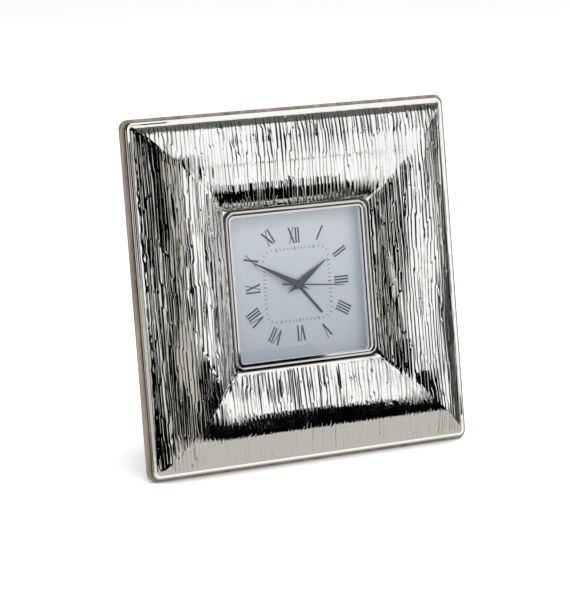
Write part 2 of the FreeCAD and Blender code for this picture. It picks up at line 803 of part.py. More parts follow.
def arbor_places():
    """The movement's arbors that turn in plain holes, by name."""
    minute = polar(size("motion_distance"), size("minute_wheel_bearing"))
    idler = polar(size("alarm_distance"), size("alarm_idler_bearing"))
    alarm_reach = size("alarm_distance") + size("alarm_knob_distance")
    rotor_reach = size("fifth_distance") + size("rotor_distance")
    return {
        "minute": minute,
        "time": polar(size("motion_distance") * 2, size("minute_wheel_bearing")),
        "idler": idler,
        "alarm": polar(alarm_reach, size("alarm_idler_bearing")),
        "third": polar(size("third_distance"), size("third_wheel_bearing")),
        "fifth": polar(size("fifth_distance"), size("fifth_wheel_bearing")),
        "rotor": polar(rotor_reach, size("fifth_wheel_bearing")),
    }


def build_movement_tray():
    piece = Piece("movement_tray")
    outside = rounded(MODULE_HALF, MODULE_HALF, size("module_corner"))
    inside = rounded(MODULE_INSIDE, MODULE_INSIDE, size("module_corner") - size("tray_wall"))
    piece.pad([outside], TRAY_INNER, size("tray_plate"))
    depth = TRAY_INNER - COVER_FRONT
    piece.pad([outside, inside], COVER_FRONT, depth)
    piece.pad([rectangle(-MODULE_INSIDE, MODULE_INSIDE, BAY_TOP, BAY_WALL_TOP)], COVER_FRONT, depth)
    ribs = [
        rectangle(PLUS_RIGHT, PLUS_RIGHT + size("bay_wall"), -MODULE_INSIDE, BAY_TOP),
        rectangle(MINUS_LEFT - size("bay_wall"), MINUS_LEFT, -MODULE_INSIDE, BAY_TOP),
    ]
    for rib in ribs:
        piece.pad([rib], COVER_FRONT, depth)
    shoulder = size("module_boss_radius") + size("module_shoulder")
    for across, up in module_screw_places():
        piece.pad([disc(size("module_boss_radius"), across, up)], COVER_FRONT, depth)
        piece.pad([disc(shoulder, across, up)], MIDDLE_FRONT, TRAY_INNER - MIDDLE_FRONT)
    screw_holes = [disc(size("module_screw_radius"), across, up) for across, up in module_screw_places()]
    piece.cut(screw_holes, COVER_FRONT - OVERRUN, size("module_depth") + OVERRUN * 2)
    piece.cut([disc(TUBE_HOLE)], TRAY_INNER - OVERRUN, size("tray_plate") + OVERRUN * 2)
    places = arbor_places()
    pivots = [disc(PIVOT_HOLE, *places["minute"]), disc(PIVOT_HOLE, *places["idler"])]
    pivots += [disc(SET_HOLE, *places["time"]), disc(SET_HOLE, *places["alarm"])]
    piece.cut(pivots, TRAY_INNER - OVERRUN, size("pivot_depth") + OVERRUN)


def middle_plate_outline():
    """The space above the battery bay, less a fitting gap."""
    side = MODULE_INSIDE - size("fit_gap")
    low = BAY_WALL_TOP + size("fit_gap")
    corner = size("module_corner") - size("tray_wall")
    half_height = (side - low) / 2
    return rounded(side, half_height, corner, 0, low + half_height)


def build_middle_plate():
    piece = Piece("middle_plate")
    piece.pad([middle_plate_outline()], MIDDLE_BACK, size("middle_plate_thickness"))
    rotor_z = arbor_places()["rotor"][1]
    for across in (-size("stator_post_x"), size("stator_post_x")):
        post = disc(size("post_radius"), across, rotor_z)
        piece.pad([post], STATOR_FRONT, MIDDLE_BACK - STATOR_FRONT)
    rail_half = size("switch_nub_width") / 2
    rail_reach = size("switch_nub_length") / 2 + size("switch_flange")
    rail = rectangle(
        size("switch_x") - rail_half, size("switch_x") + rail_half,
        size("switch_z") - rail_reach, size("switch_z") + rail_reach + size("switch_travel"),
    )
    rail_back = COVER_FRONT + size("running_gap") * 2 + size("switch_flange_thickness")
    piece.pad([rail], rail_back, MIDDLE_BACK - rail_back)
    through = size("middle_plate_thickness") + OVERRUN * 2
    clear = size("module_boss_radius") + size("fit_gap")
    corners = [disc(clear, across, up) for across, up in module_screw_places()]
    for hole in corners:
        piece.cut([hole], MIDDLE_BACK - OVERRUN, through)
    places = arbor_places()
    holes = [disc(PIVOT_HOLE, *places[name]) for name in ("minute", "idler", "third", "fifth", "rotor")]
    holes += [disc(SET_HOLE, *places["time"]), disc(SET_HOLE, *places["alarm"])]
    holes.append(disc(CANNON_RADIUS + size("running_gap")))
    piece.cut(holes, MIDDLE_BACK - OVERRUN, through)


def build_rear_cover():
    piece = Piece("rear_cover")
    piece.pad([rounded(MODULE_HALF, MODULE_HALF, size("module_corner"))], COVER_BACK, size("cover_thickness"))
    through = size("cover_thickness") + OVERRUN * 2
    door_side = size("door_half_length") + size("fit_gap")
    bay = rectangle(-door_side, door_side, -MODULE_HALF - OVERRUN, DOOR_TOP + size("fit_gap"))
    piece.cut([bay], COVER_BACK - OVERRUN, through)
    groove_half = door_side + size("door_tongue_depth")
    tongue = size("door_tongue_thickness")
    groove_back = COVER_BACK + (size("cover_thickness") - tongue) / 2 - size("running_gap")
    groove = rectangle(-groove_half, groove_half, -MODULE_HALF - OVERRUN, DOOR_TOP + size("fit_gap"))
    piece.cut([groove], groove_back, tongue + size("running_gap") * 2)
    places = arbor_places()
    holes = [disc(SET_HOLE, *places["time"]), disc(SET_HOLE, *places["alarm"])]
    holes += [disc(size("module_screw_radius"), across, up) for across, up in module_screw_places()]
    piece.cut(holes, COVER_BACK - OVERRUN, through)
    pivots = [disc(PIVOT_HOLE, *places[name]) for name in ("third", "fifth", "rotor")]
    pivots.append(disc(size("second_arbor_radius") + size("running_gap")))
    piece.cut(pivots, COVER_FRONT - size("pivot_depth"), size("pivot_depth") + OVERRUN)
    slot_half = size("switch_nub_width") / 2 + size("fit_gap")
    slot_low = size("switch_z") - size("switch_nub_length") / 2 - size("fit_gap")
    slot_high = slot_low + size("switch_nub_length") + size("switch_travel") + size("fit_gap") * 2
    slot = rectangle(size("switch_x") - slot_half, size("switch_x") + slot_half, slot_low, slot_high)
    piece.cut([slot], COVER_BACK - OVERRUN, through)


def build_switch():
    piece = Piece("alarm_switch", size("switch_x"), size("switch_z"))
    half_width = size("switch_nub_width") / 2
    half_length = size("switch_nub_length") / 2
    wide = half_width + size("switch_flange")
    long = half_length + size("switch_flange")
    flange_back = COVER_FRONT + size("running_gap")
    piece.pad([rectangle(-wide, wide, -long, long)], flange_back, size("switch_flange_thickness"))
    nub_back = COVER_BACK - size("switch_nub_rise")
    nub = rectangle(-half_width, half_width, -half_length, half_length)
    piece.pad([nub], nub_back, flange_back - nub_back)


def build_battery_group():
    cell = doc.addObject("Part::Cylinder", "CellBody")
    bind(cell, "Radius", size("battery_radius"))
    bind(cell, "Height", size("battery_length"))
    nub = doc.addObject("Part::Cylinder", "CellNub")
    bind(nub, "Radius", size("battery_nub_radius"))
    bind(nub, "Height", size("battery_nub_length"))
    bind(nub, "Placement.Base.z", size("battery_length"))
    battery = doc.addObject("Part::Fuse", "battery")
    battery.Base = cell
    battery.Tool = nub
    place = V(BATTERY_LEFT.value, -BATTERY_HEIGHT.value, BATTERY_Z.value)
    battery.Placement = STANCE.multiply(FreeCAD.Placement(place, FreeCAD.Rotation(DEPTH, 90.0)))
    keep(battery, "battery")

    half = size("contact_side") / 2
    low = BATTERY_Z - half
    high = BATTERY_Z + half
    back = BATTERY_HEIGHT - half
    plus = Piece("plus_contact")
    plus.pad([rectangle(NUB_RIGHT, PLUS_RIGHT, low, high)], back, size("contact_side"))
    strip = size("contact_thickness")
    bow = [
        (MINUS_LEFT, low),
        (MINUS_LEFT + strip, low),
        (BATTERY_LEFT, BATTERY_Z),
        (MINUS_LEFT + strip, high),
        (MINUS_LEFT, high),
        (BATTERY_LEFT - strip, BATTERY_Z),
    ]
    Piece("minus_contact").pad([bow], back, size("contact_side"))

    door = Piece("battery_door")
    side = size("door_half_length")
    thickness = size("cover_thickness") - size("running_gap")
    door.pad([rectangle(-side, side, -MODULE_HALF, DOOR_TOP)], COVER_BACK, thickness)
    wide = side + size("door_tongue_depth")
    tongue = size("door_tongue_thickness")
    tongue_back = COVER_BACK + (size("cover_thickness") - tongue) / 2
    door.pad([rectangle(-wide, wide, -MODULE_HALF, DOOR_TOP)], tongue_back, tongue)
    for index in (-1, 0, 1):
        middle = BATTERY_Z + size("door_rib_pitch") * index
        half_rib = size("door_rib_width") / 2
        reach = side / 3
        rib = rectangle(-reach, reach, middle - half_rib, middle + half_rib)
        door.pad([rib], COVER_BACK - size("door_rib_height"), size("door_rib_height"))


def build_motor():
    rotor_x, rotor_z = arbor_places()["rotor"]
    half = size("stator_half_length")
    hole = size("rotor_magnet_radius") + size("stator_hole_gap")
    bar = hole + size("stator_bar_margin")
    leg_top = size("coil_height") + size("coil_core_width") / 2
    inner = half - size("stator_leg_width")
    stator = Piece("stator")
    outline = [
        (-half, rotor_z - bar),
        (half, rotor_z - bar),
        (half, leg_top),
        (inner, leg_top),
        (inner, rotor_z + bar),
        (-inner, rotor_z + bar),
        (-inner, leg_top),
        (-half, leg_top),
    ]
    stator.pad([outline, disc(hole, rotor_x, rotor_z)], STATOR_BACK, size("stator_thickness"))

    core_half = size("coil_core_width") / 2
    core_low = size("coil_height") - core_half
    core = Piece("coil_core")
    core.pad([rectangle(-half, half, core_low, leg_top)], CORE_BACK, size("stator_thickness"))

    coil_z = size("coil_height")
    wall = size("bobbin_wall")
    length = size("coil_half_length")
    flange = size("bobbin_flange")
    wide = size("coil_half_width")
    deep = size("coil_half_depth")
    sleeve_half = core_half + wall
    sleeve_deep = size("stator_thickness") / 2 + wall
    bobbin = Piece("coil_bobbin")
    sleeve = rectangle(-length, length, coil_z - sleeve_half, coil_z + sleeve_half)
    bobbin.pad([sleeve], COIL_MIDDLE - sleeve_deep, sleeve_deep * 2)
    for left in (-length, length - flange):
        plate = rectangle(left, left + flange, coil_z - wide, coil_z + wide)
        bobbin.pad([plate], COIL_MIDDLE - deep, deep * 2)
    beyond = length + OVERRUN
    tunnel = rectangle(-beyond, beyond, core_low, leg_top)
    bobbin.cut([tunnel], CORE_BACK, size("stator_thickness"))

    winding = Piece("coil_winding")
    wound = length - flange
    thick = wide - wall
    block = rectangle(-wound, wound, coil_z - thick, coil_z + thick)
    winding.pad([block], COIL_MIDDLE - deep + wall, (deep - wall) * 2)
    past = wound + OVERRUN
    channel = rectangle(-past, past, coil_z - sleeve_half, coil_z + sleeve_half)
    winding.cut([channel], COIL_MIDDLE - sleeve_deep, sleeve_deep * 2)


def build_electronics():
    middle_x = size("circuit_x")
    middle_z = size("circuit_z")
    half_width = size("circuit_width") / 2
    half_height = size("circuit_height") / 2
    board_back = MIDDLE_BACK - size("circuit_thickness")
    left = middle_x - half_width
    low = middle_z - half_height
    outline = rectangle(left, middle_x + half_width, low, middle_z + half_height)
    Piece("circuit_board").pad([outline], board_back, size("circuit_thickness"))

    quartz_axis = board_back - size("quartz_radius")
    can = doc.addObject("Part::Cylinder", "quartz_can")
    bind(can, "Radius", size("quartz_radius"))
    bind(can, "Height", size("quartz_length"))
    foot = middle_z - size("quartz_length")
    place = V((middle_x - size("quartz_offset")).value, -quartz_axis.value, foot.value)
    can.Placement = STANCE.multiply(FreeCAD.Placement(place, FreeCAD.Rotation()))
    keep(can, "quartz_can")

    chip = Piece("chip_cap", middle_x, middle_z + size("chip_offset"))
    radius = size("chip_radius")
    top = board_back - size("chip_height")
    shoulder = radius / 2
    chip.turned([(0, board_back), (radius, board_back), (shoulder, top), (0, top)])

    buzzer = Piece("buzzer", size("buzzer_x"), size("buzzer_z"))
    back = MIDDLE_BACK - size("buzzer_height")
    well = back + size("buzzer_hole_depth")
    mouth = size("buzzer_hole_radius")
    rim = size("buzzer_radius")
    buzzer.turned([(0, MIDDLE_BACK), (rim, MIDDLE_BACK), (rim, back), (mouth, back), (mouth, well), (0, well)])

    leaf = Piece("alarm_contact")
    half_leaf = size("leaf_width") / 2
    up = size("leaf_z")
    far = -size("leaf_far_x")
    strip = rectangle(far, -size("leaf_near_x"), up - half_leaf, up + half_leaf)
    leaf.pad([strip], LEAF_BACK, size("leaf_thickness"))
    foot = disc(size("leaf_post_radius"), far + size("leaf_post_radius"), up)
    leaf.pad([foot], MIDDLE_FRONT, LEAF_BACK - MIDDLE_FRONT)


def toothed_face(teeth, distance_per_tooth, phase, slim):
    """A flat toothed outline. distance_per_tooth is the module, phase the angle of the first tooth."""
    tip_share = LEAF_TIP_SHARE if slim else TIP_SHARE
    root_share = LEAF_ROOT_SHARE if slim else ROOT_SHARE
    pitch_radius = teeth * distance_per_tooth / 2
    tip = pitch_radius + distance_per_tooth * ADDENDUM_SHARE
    root = pitch_radius - distance_per_tooth * DEDENDUM_SHARE
    step = 2 * math.pi / teeth
    points = []
    for index in range(teeth):
        middle = math.radians(phase) + index * step
        for radius, share in ((root, -root_share), (tip, -tip_share), (tip, tip_share), (root, root_share)):
            angle = middle + share * step
            points.append(V(radius * math.cos(angle), 0, radius * math.sin(angle)))
    return Part.Face(Part.makePolygon(points + points[:1]))


def gear_solid(teeth, module, phase, back, thickness):
    """A toothed disc whose back lies at a height, about the Y axis."""
    face = toothed_face(teeth, module, phase, teeth <= SET_LEAVES)
    face.translate(V(0, -back, 0))
    return face.extrude(V(0, -thickness, 0))


def rod(radius, back, front):
    """A round bar along the Y axis between two heights."""
    return Part.makeCylinder(radius, front - back, V(0, -back, 0), V(0, -1, 0))


def mesh_phase(phase, teeth, bearing, other_teeth):
    """The phase that puts a wheel in mesh with one of known phase, on a bearing from it."""
    own_share = ((bearing - phase) * teeth / 360.0) % 1.0
    return bearing + 180.0 - (0.5 - own_share) * 360.0 / other_teeth


def wheel_piece(name, place, solids, bore=None):
    """Fuses discs, pinions and bars into one wheel and sets it at its place."""
    shape = solids[0]
    for solid in solids[1:]:
        shape = shape.fuse(solid)
    if bore is not None:
        shape = shape.cut(bore)
    shape = shape.removeSplitter()
    item = doc.addObject("Part::Feature", name)
    item.Shape = shape
    own = FreeCAD.Placement(V(as_size(place[0]).value, 0, as_size(place[1]).value), FreeCAD.Rotation())
    item.Placement = STANCE.multiply(own)
    return keep(item, name)


def module_of(distance, teeth, leaves):
    """The tooth size that makes a pair meet at a centre distance."""
    return 2 * distance / (teeth + leaves)


def build_going_train():
    places = arbor_places()
    wheel = SIZES["wheel_thickness"]
    hang = SIZES["mesh_overhang"]
    thick = wheel + 2 * hang
    pivot = SIZES["pivot_radius"]
    front_pivot = MIDDLE_FRONT.value
    rear_pivot = COVER_FRONT.value - SIZES["pivot_depth"] + SIZES["running_gap"]
    third_bearing = SIZES["third_wheel_bearing"]
    fifth_bearing = SIZES["fifth_wheel_bearing"]

    centre_module = module_of(SIZES["third_distance"], CENTRE_TEETH, THIRD_LEAVES)
    third_module = module_of(SIZES["third_distance"], THIRD_TEETH, SECOND_LEAVES)
    second_module = module_of(SIZES["fifth_distance"], SECOND_TEETH, FIFTH_LEAVES)
    fifth_module = module_of(SIZES["rotor_distance"], FIFTH_TEETH, ROTOR_LEAVES)

    centre_back = CENTRE_WHEEL_BACK.value
    bore_radius = (CANNON_RADIUS + size("running_gap")).value
    bore = rod(bore_radius, centre_back - wheel, centre_back + 2 * wheel)
    centre = gear_solid(CENTRE_TEETH, centre_module, 0.0, centre_back, wheel)
    wheel_piece("centre_wheel", (0, 0), [centre], bore)

    third_leaf_phase = mesh_phase(0.0, CENTRE_TEETH, third_bearing, THIRD_LEAVES)
    third_back = THIRD_WHEEL_BACK.value
    wheel_piece("third_wheel", places["third"], [
        rod(pivot, rear_pivot, front_pivot),
        gear_solid(THIRD_LEAVES, centre_module, third_leaf_phase, centre_back - hang, thick),
        gear_solid(THIRD_TEETH, third_module, 0.0, third_back, wheel),
    ])

    second_leaf_phase = mesh_phase(0.0, THIRD_TEETH, third_bearing + 180.0, SECOND_LEAVES)
    second_back = SECOND_WHEEL_BACK.value
    arbor_front = (SECOND_HAND_BACK + size("hand_thickness")).value
    wheel_piece("second_wheel", (0, 0), [
        rod(SIZES["second_arbor_radius"], rear_pivot, arbor_front),
        gear_solid(SECOND_LEAVES, third_module, second_leaf_phase, third_back - hang, thick),
        gear_solid(SECOND_TEETH, second_module, 0.0, second_back, wheel),
    ])

    fifth_leaf_phase = mesh_phase(0.0, SECOND_TEETH, fifth_bearing, FIFTH_LEAVES)
    fifth_back = FIFTH_WHEEL_BACK.value
    wheel_piece("fifth_wheel", places["fifth"], [
        rod(pivot, rear_pivot, front_pivot),
        gear_solid(FIFTH_LEAVES, second_module, fifth_leaf_phase, second_back - hang, thick),
        gear_solid(FIFTH_TEETH, fifth_module, 0.0, fifth_back, wheel),
    ])

    rotor_phase = mesh_phase(0.0, FIFTH_TEETH, fifth_bearing, ROTOR_LEAVES)
    wheel_piece("rotor_pinion", places["rotor"], [
        rod(pivot, rear_pivot, front_pivot),
        gear_solid(ROTOR_LEAVES, fifth_module, rotor_phase, fifth_back - hang, thick),
    ])
    magnet = Piece("rotor_magnet", *places["rotor"])
    outer = size("rotor_magnet_radius")
    inner = size("pivot_radius")
    low = FIFTH_WHEEL_BACK + size("wheel_thickness") + size("mesh_overhang")
    high = low + size("rotor_magnet_length")
    magnet.turned([(inner, low), (outer, low), (outer, high), (inner, high)])


def build_motion_work():
    places = arbor_places()
    wheel = SIZES["wheel_thickness"]
    hang = SIZES["mesh_overhang"]
    thick = wheel + 2 * hang
    pivot = SIZES["pivot_radius"]
    gap = SIZES["running_gap"]
    bearing = SIZES["minute_wheel_bearing"]
    front_pivot = TRAY_INNER.value + SIZES["pivot_depth"] - gap
    middle_back = MIDDLE_BACK.value
    cannon_module = module_of(SIZES["motion_distance"], MINUTE_TEETH, CANNON_LEAVES)
    hour_module = module_of(SIZES["motion_distance"], HOUR_TEETH, MINUTE_LEAVES)

    minute_back = MINUTE_WHEEL_BACK.value
    cannon_rear = (CENTRE_WHEEL_BACK - size("mesh_overhang")).value
    cannon_front = (MINUTE_HAND_BACK + size("hand_thickness")).value
    cannon_bore = rod(CANNON_BORE.value, cannon_rear - thick, cannon_front + thick)
    wheel_piece("cannon_pinion", (0, 0), [
        rod(CANNON_RADIUS.value, cannon_rear, cannon_front),
        gear_solid(CANNON_LEAVES, cannon_module, 0.0, minute_back - hang, thick),
    ], cannon_bore)

    minute_phase = mesh_phase(0.0, CANNON_LEAVES, bearing, MINUTE_TEETH)
    hour_back = HOUR_WHEEL_BACK.value
    leaf_front = hour_back + wheel + hang
    wheel_piece("minute_wheel", places["minute"], [
        rod(pivot, middle_back, front_pivot),
        gear_solid(MINUTE_LEAVES, hour_module, 0.0, minute_back + wheel, leaf_front - minute_back - wheel),
        gear_solid(MINUTE_TEETH, cannon_module, minute_phase, minute_back, wheel),
    ])

    hour_phase = mesh_phase(0.0, MINUTE_LEAVES, bearing + 180.0, HOUR_TEETH)
    hour_front = (HOUR_HAND_BACK + size("hand_thickness")).value
    hour_bore = rod(HOUR_BORE.value, hour_back - thick, hour_front + thick)
    wheel_piece("hour_wheel", (0, 0), [
        rod(HOUR_RADIUS.value, hour_back, hour_front),
        gear_solid(HOUR_TEETH, hour_module, hour_phase, hour_back, wheel),
    ], hour_bore)

    time_phase = mesh_phase(minute_phase, MINUTE_TEETH, bearing, SET_LEAVES)
    knob_end = (COVER_BACK - size("knob_gap") - size("knob_height") / 2).value
    set_radius = SIZES["set_arbor_radius"]
    wheel_piece("time_set_arbor", places["time"], [
        rod(set_radius, knob_end, front_pivot),
        gear_solid(SET_LEAVES, cannon_module, time_phase, minute_back - hang, thick),
    ])

    idler_module = module_of(SIZES["alarm_distance"], ALARM_TEETH, IDLER_TEETH)
    alarm_module = module_of(SIZES["alarm_knob_distance"], IDLER_TEETH, SET_LEAVES)
    idler_bearing = SIZES["alarm_idler_bearing"]
    alarm_back = ALARM_WHEEL_BACK.value
    alarm_front = (ALARM_HAND_BACK + size("hand_thickness")).value
    alarm_bore = rod(ALARM_BORE.value, alarm_back - thick, alarm_front + thick)
    wheel_piece("alarm_wheel", (0, 0), [
        rod(ALARM_RADIUS.value, alarm_back, alarm_front),
        gear_solid(ALARM_TEETH, idler_module, 0.0, alarm_back, wheel),
    ], alarm_bore)
    idler_phase = mesh_phase(0.0, ALARM_TEETH, idler_bearing, IDLER_TEETH)
    wheel_piece("alarm_idler", places["idler"], [
        rod(pivot, middle_back, front_pivot),
        gear_solid(IDLER_TEETH, idler_module, idler_phase, alarm_back, wheel),
    ])
    set_phase = mesh_phase(idler_phase, IDLER_TEETH, idler_bearing, SET_LEAVES)
    wheel_piece("alarm_set_arbor", places["alarm"], [
        rod(set_radius, knob_end, front_pivot),
        gear_solid(SET_LEAVES, alarm_module, set_phase, alarm_back - hang, thick),
    ])


def build_knob(name, place):
    """A ridged knob, drilled half through for its arbor."""
    front = (COVER_BACK - size("knob_gap")).value
    back = front - SIZES["knob_height"]
    outer = SIZES["knob_radius"]
    inner = outer - SIZES["knob_notch"]
    step = 2 * math.pi / KNOB_RIDGES
    points = []
    for index in range(KNOB_RIDGES):
        for radius, share in ((outer, 0.0), (inner, 0.5)):
            angle = (index + share) * step
            points.append(V(radius * math.cos(angle), -back, radius * math.sin(angle)))
    grip = Part.Face(Part.makePolygon(points + points[:1]))
    grip_height = SIZES["knob_height"] - SIZES["knob_collar_height"]
    solid = grip.extrude(V(0, -grip_height, 0))
    collar = rod(SIZES["knob_collar_radius"], back, front)
    bore = rod(SIZES["set_arbor_radius"], back + SIZES["knob_height"] / 2, front)
    wheel_piece(name, place, [solid, collar], bore)


def build_fasteners():
    screws = []
    tip = BOARD_BACK + size("case_plate") / 2
    for index, (across, up) in enumerate(module_screw_places()):
        screws.append(screw(
            f"ModuleScrew{index}", across, up, tip, COVER_BACK, size("module_screw_radius"),
            size("module_screw_head_radius"), size("module_screw_head_height"),
        ))
    group("module_screws", screws)

    clips = []
    clip_screws = []
    half_width = size("clip_width") / 2
    clip_back = BOARD_BACK - size("clip_thickness")
    inset = size("clip_screw_inset")
    for index, (across, up, turn) in enumerate(clip_places()):
        clip = Piece(f"Clip{index}", across, up, turn=turn, hidden=True)
        half_length = size("clip_length") / 2
        shape = rounded(half_width, half_length, half_width / 2, 0, inset - half_length)
        clip.pad([shape], clip_back, size("clip_thickness"))
        hole = disc(size("clip_screw_radius") + size("clip_hole_gap"))
        clip.cut([hole], clip_back - OVERRUN, size("clip_thickness") + OVERRUN * 2)
        clips.append(clip.body)
        clip_screws.append(screw(
            f"ClipScrew{index}", across, up, BOARD_BACK + size("clip_screw_depth"), clip_back,
            size("clip_screw_radius"), size("clip_screw_head_radius"), size("clip_screw_head_height"),
        ))
    group("retaining_clips", clips)
    group("clip_screws", clip_screws)


def leg_screw_places():
    """Where the leg leaf of the hinge is screwed."""
    up = size("hinge_rise") - size("hinge_leaf_start") - size("hinge_screw_inset")
    return [(-size("hinge_screw_x"), up), (size("hinge_screw_x"), up)]


def about_hinge(depth, up, angle):
    """A place beside the hinge axis, swung about it by an angle, as (depth, height) of the frame."""
    swung_depth = depth * cosine(angle) - up * sine(angle)
    swung_up = depth * sine(angle) + up * cosine(angle)
    return swung_depth - HINGE_HEIGHT, swung_up + size("hinge_rise")


def build_hinge():
    half = size("hinge_half_width")
    center = size("hinge_center_half")
    leaf = size("hinge_leaf_thickness")
    start = size("hinge_leaf_start")
    axis_z = size("hinge_rise")
    far = start + size("hinge_leaf_length")
    round_radius = size("hinge_knuckle_radius")
    pin_radius = size("hinge_pin_radius")
    barrel = disc(round_radius, -HINGE_HEIGHT, axis_z)

    fixed = Piece("hinge_frame_leaf")
    leaf_back = BOARD_BACK - leaf
    fixed.pad([rectangle(-half, half, axis_z, axis_z + far)], leaf_back, leaf)
    fixed.pad_across(barrel, half * 2)
    middle = rectangle(-center, center, axis_z - round_radius - OVERRUN, axis_z + start)
    barrel_back = HINGE_HEIGHT - round_radius - OVERRUN
    fixed.cut([middle], barrel_back, BOARD_BACK - barrel_back + OVERRUN)
    fixed.cut_across(disc(pin_radius, -HINGE_HEIGHT, axis_z), half * 2 + OVERRUN)
    holes = [disc(size("hinge_screw_radius"), across, up) for across, up in hinge_screw_places()]
    fixed.cut(holes, leaf_back - OVERRUN, leaf + OVERRUN * 2)

    swing = Piece("hinge_leg_leaf", stance=LEG_STANCE)
    inner = center - size("hinge_side_gap")
    swing_back = LEG_FRONT - leaf
    swing.pad([rectangle(-half, half, axis_z - far, axis_z - start)], swing_back, leaf)
    swing.pad([rectangle(-inner, inner, axis_z - far, axis_z)], swing_back, leaf)
    swing.pad_across(barrel, inner * 2)
    stop_front = LEG_FRONT_STOP
    angle = -size("leg_open_angle")
    low = pin_radius + size("running_gap")
    corners = [
        (stop_front, low),
        (stop_front + leaf, low),
        (stop_front + leaf, size("hinge_stop_length")),
        (stop_front, size("hinge_stop_length")),
    ]
    stop = [about_hinge(depth, up, angle) for depth, up in corners]
    swing.pad_across(stop, size("hinge_stop_half_width") * 2)
    swing.cut_across(disc(low, -HINGE_HEIGHT, axis_z), half * 2 + OVERRUN)
    holes = [disc(size("hinge_screw_radius"), across, up) for across, up in leg_screw_places()]
    swing.cut(holes, swing_back - OVERRUN, leaf + OVERRUN * 2)

    pin = doc.addObject("Part::Cylinder", "hinge_pin")
    bind(pin, "Radius", pin_radius)
    bind(pin, "Height", (half + size("hinge_pin_proud")) * 2)
    end = V(-(half + size("hinge_pin_proud")).value, -HINGE_HEIGHT.value, SIZES["hinge_rise"])
    pin.Placement = STANCE.multiply(FreeCAD.Placement(end, FreeCAD.Rotation(DEPTH, 90.0)))
    keep(pin, "hinge_pin")

    radius = size("hinge_screw_radius")
    head = size("hinge_screw_head_radius")
    height = size("hinge_screw_head_height")
    frame_screws = [
        screw(f"HingeScrew{index}", across, up, BOARD_BACK + size("hinge_screw_depth"), leaf_back,
              radius, head, height)
        for index, (across, up) in enumerate(hinge_screw_places())
    ]
    group("hinge_screws", frame_screws)
    leg_screws = [
        screw(f"LegScrew{index}", across, up, swing_back - size("hinge_screw_depth"), LEG_FRONT,
              radius, head, height, stance=LEG_STANCE, sign=-1)
        for index, (across, up) in enumerate(leg_screw_places())
    ]
    group("leg_screws", leg_screws)


def build_leg():
    """The wooden leg, drawn flat against the frame's back and swung open by its stance."""
    leg = Piece("easel_leg", stance=LEG_STANCE)
    top = size("hinge_rise") - size("hinge_leaf_start")
    low = -FRAME_HALF - OVERRUN
    foot = size("leg_foot_half")
    head = size("leg_top_half")
    thickness = size("leg_thickness")
    leg.pad([[(-foot, low), (foot, low), (head, top), (-head, top)]], LEG_BACK, thickness)
    half_height = (size("leg_window_top") + size("leg_window_bottom")) / 2
    middle = size("leg_window_top") - half_height
    window = rounded(size("leg_window_half"), half_height, size("leg_window_corner"), 0, middle)
    leg.cut([window], LEG_BACK - OVERRUN, thickness + OVERRUN * 2)

    half = size("hinge_half_width")
    leaf = size("hinge_leaf_thickness")
    recess = rectangle(-half, half, top - size("hinge_leaf_length"), top + OVERRUN)
    leg.cut([recess], LEG_FRONT - leaf, leaf + OVERRUN)
    holes = [disc(size("hinge_screw_radius"), across, up) for across, up in leg_screw_places()]
    leg.cut(holes, LEG_FRONT - leaf - size("hinge_screw_depth"), size("hinge_screw_depth") + OVERRUN)

    lean = size("lean_angle")
    splay = size("leg_open_angle") - lean
    rise = (FRAME_HALF + size("hinge_rise")) * cosine(lean) + HINGE_HEIGHT * sine(lean)
    slope = sine(splay) / cosine(splay)
    front_foot = size("hinge_rise") - (rise + HINGE_HEIGHT * sine(splay)) / cosine(splay)
    beyond = -LEG_BACK + OVERRUN
    ground = [
        (0, front_foot),
        (beyond, front_foot - beyond * slope),
        (beyond, low - OVERRUN),
        (0, low - OVERRUN),
    ]
    leg.cut_across(ground, (foot + OVERRUN) * 2)


def check_pieces():
    """Every object must have been worked out, every cut must take something away."""
    doc.recompute()
    for item in doc.Objects:
        if "Invalid" in item.State or "Error" in item.State:
            raise SystemExit(f"{item.Label} is not worked out: {item.State}")
        if item.TypeId == "PartDesign::Pocket":
            before = item.BaseFeature.Shape.Volume
            if not item.Shape.Volume < before:
                raise SystemExit(f"{item.Label} of {item.getParent().Label} takes nothing away")
    for name, item in pieces.items():
        if item.Shape.isNull() or not item.Shape.isValid():
            raise SystemExit(f"{name} has no sound shape")


def main():
    build_back_board()
    build_frame_mouldings()
    build_insert_front()
    build_hands()
    build_movement_tray()
    build_middle_plate()
    build_rear_cover()
    build_switch()
    build_battery_group()
    build_motor()
    build_electronics()
    build_going_train()
    build_motion_work()
    places = arbor_places()
    build_knob("time_set_knob", places["time"])
    build_knob("alarm_set_knob", places["alarm"])
    build_fasteners()
    build_hinge()
    build_leg()
    check_pieces()
    os.makedirs("parts", exist_ok=True)
    for name, item in pieces.items():
        item.Shape.exportStep(f"parts/{name}.step")


main()
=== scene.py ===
import json
import math

import bpy
import numpy as np
from mathutils import Matrix, Vector


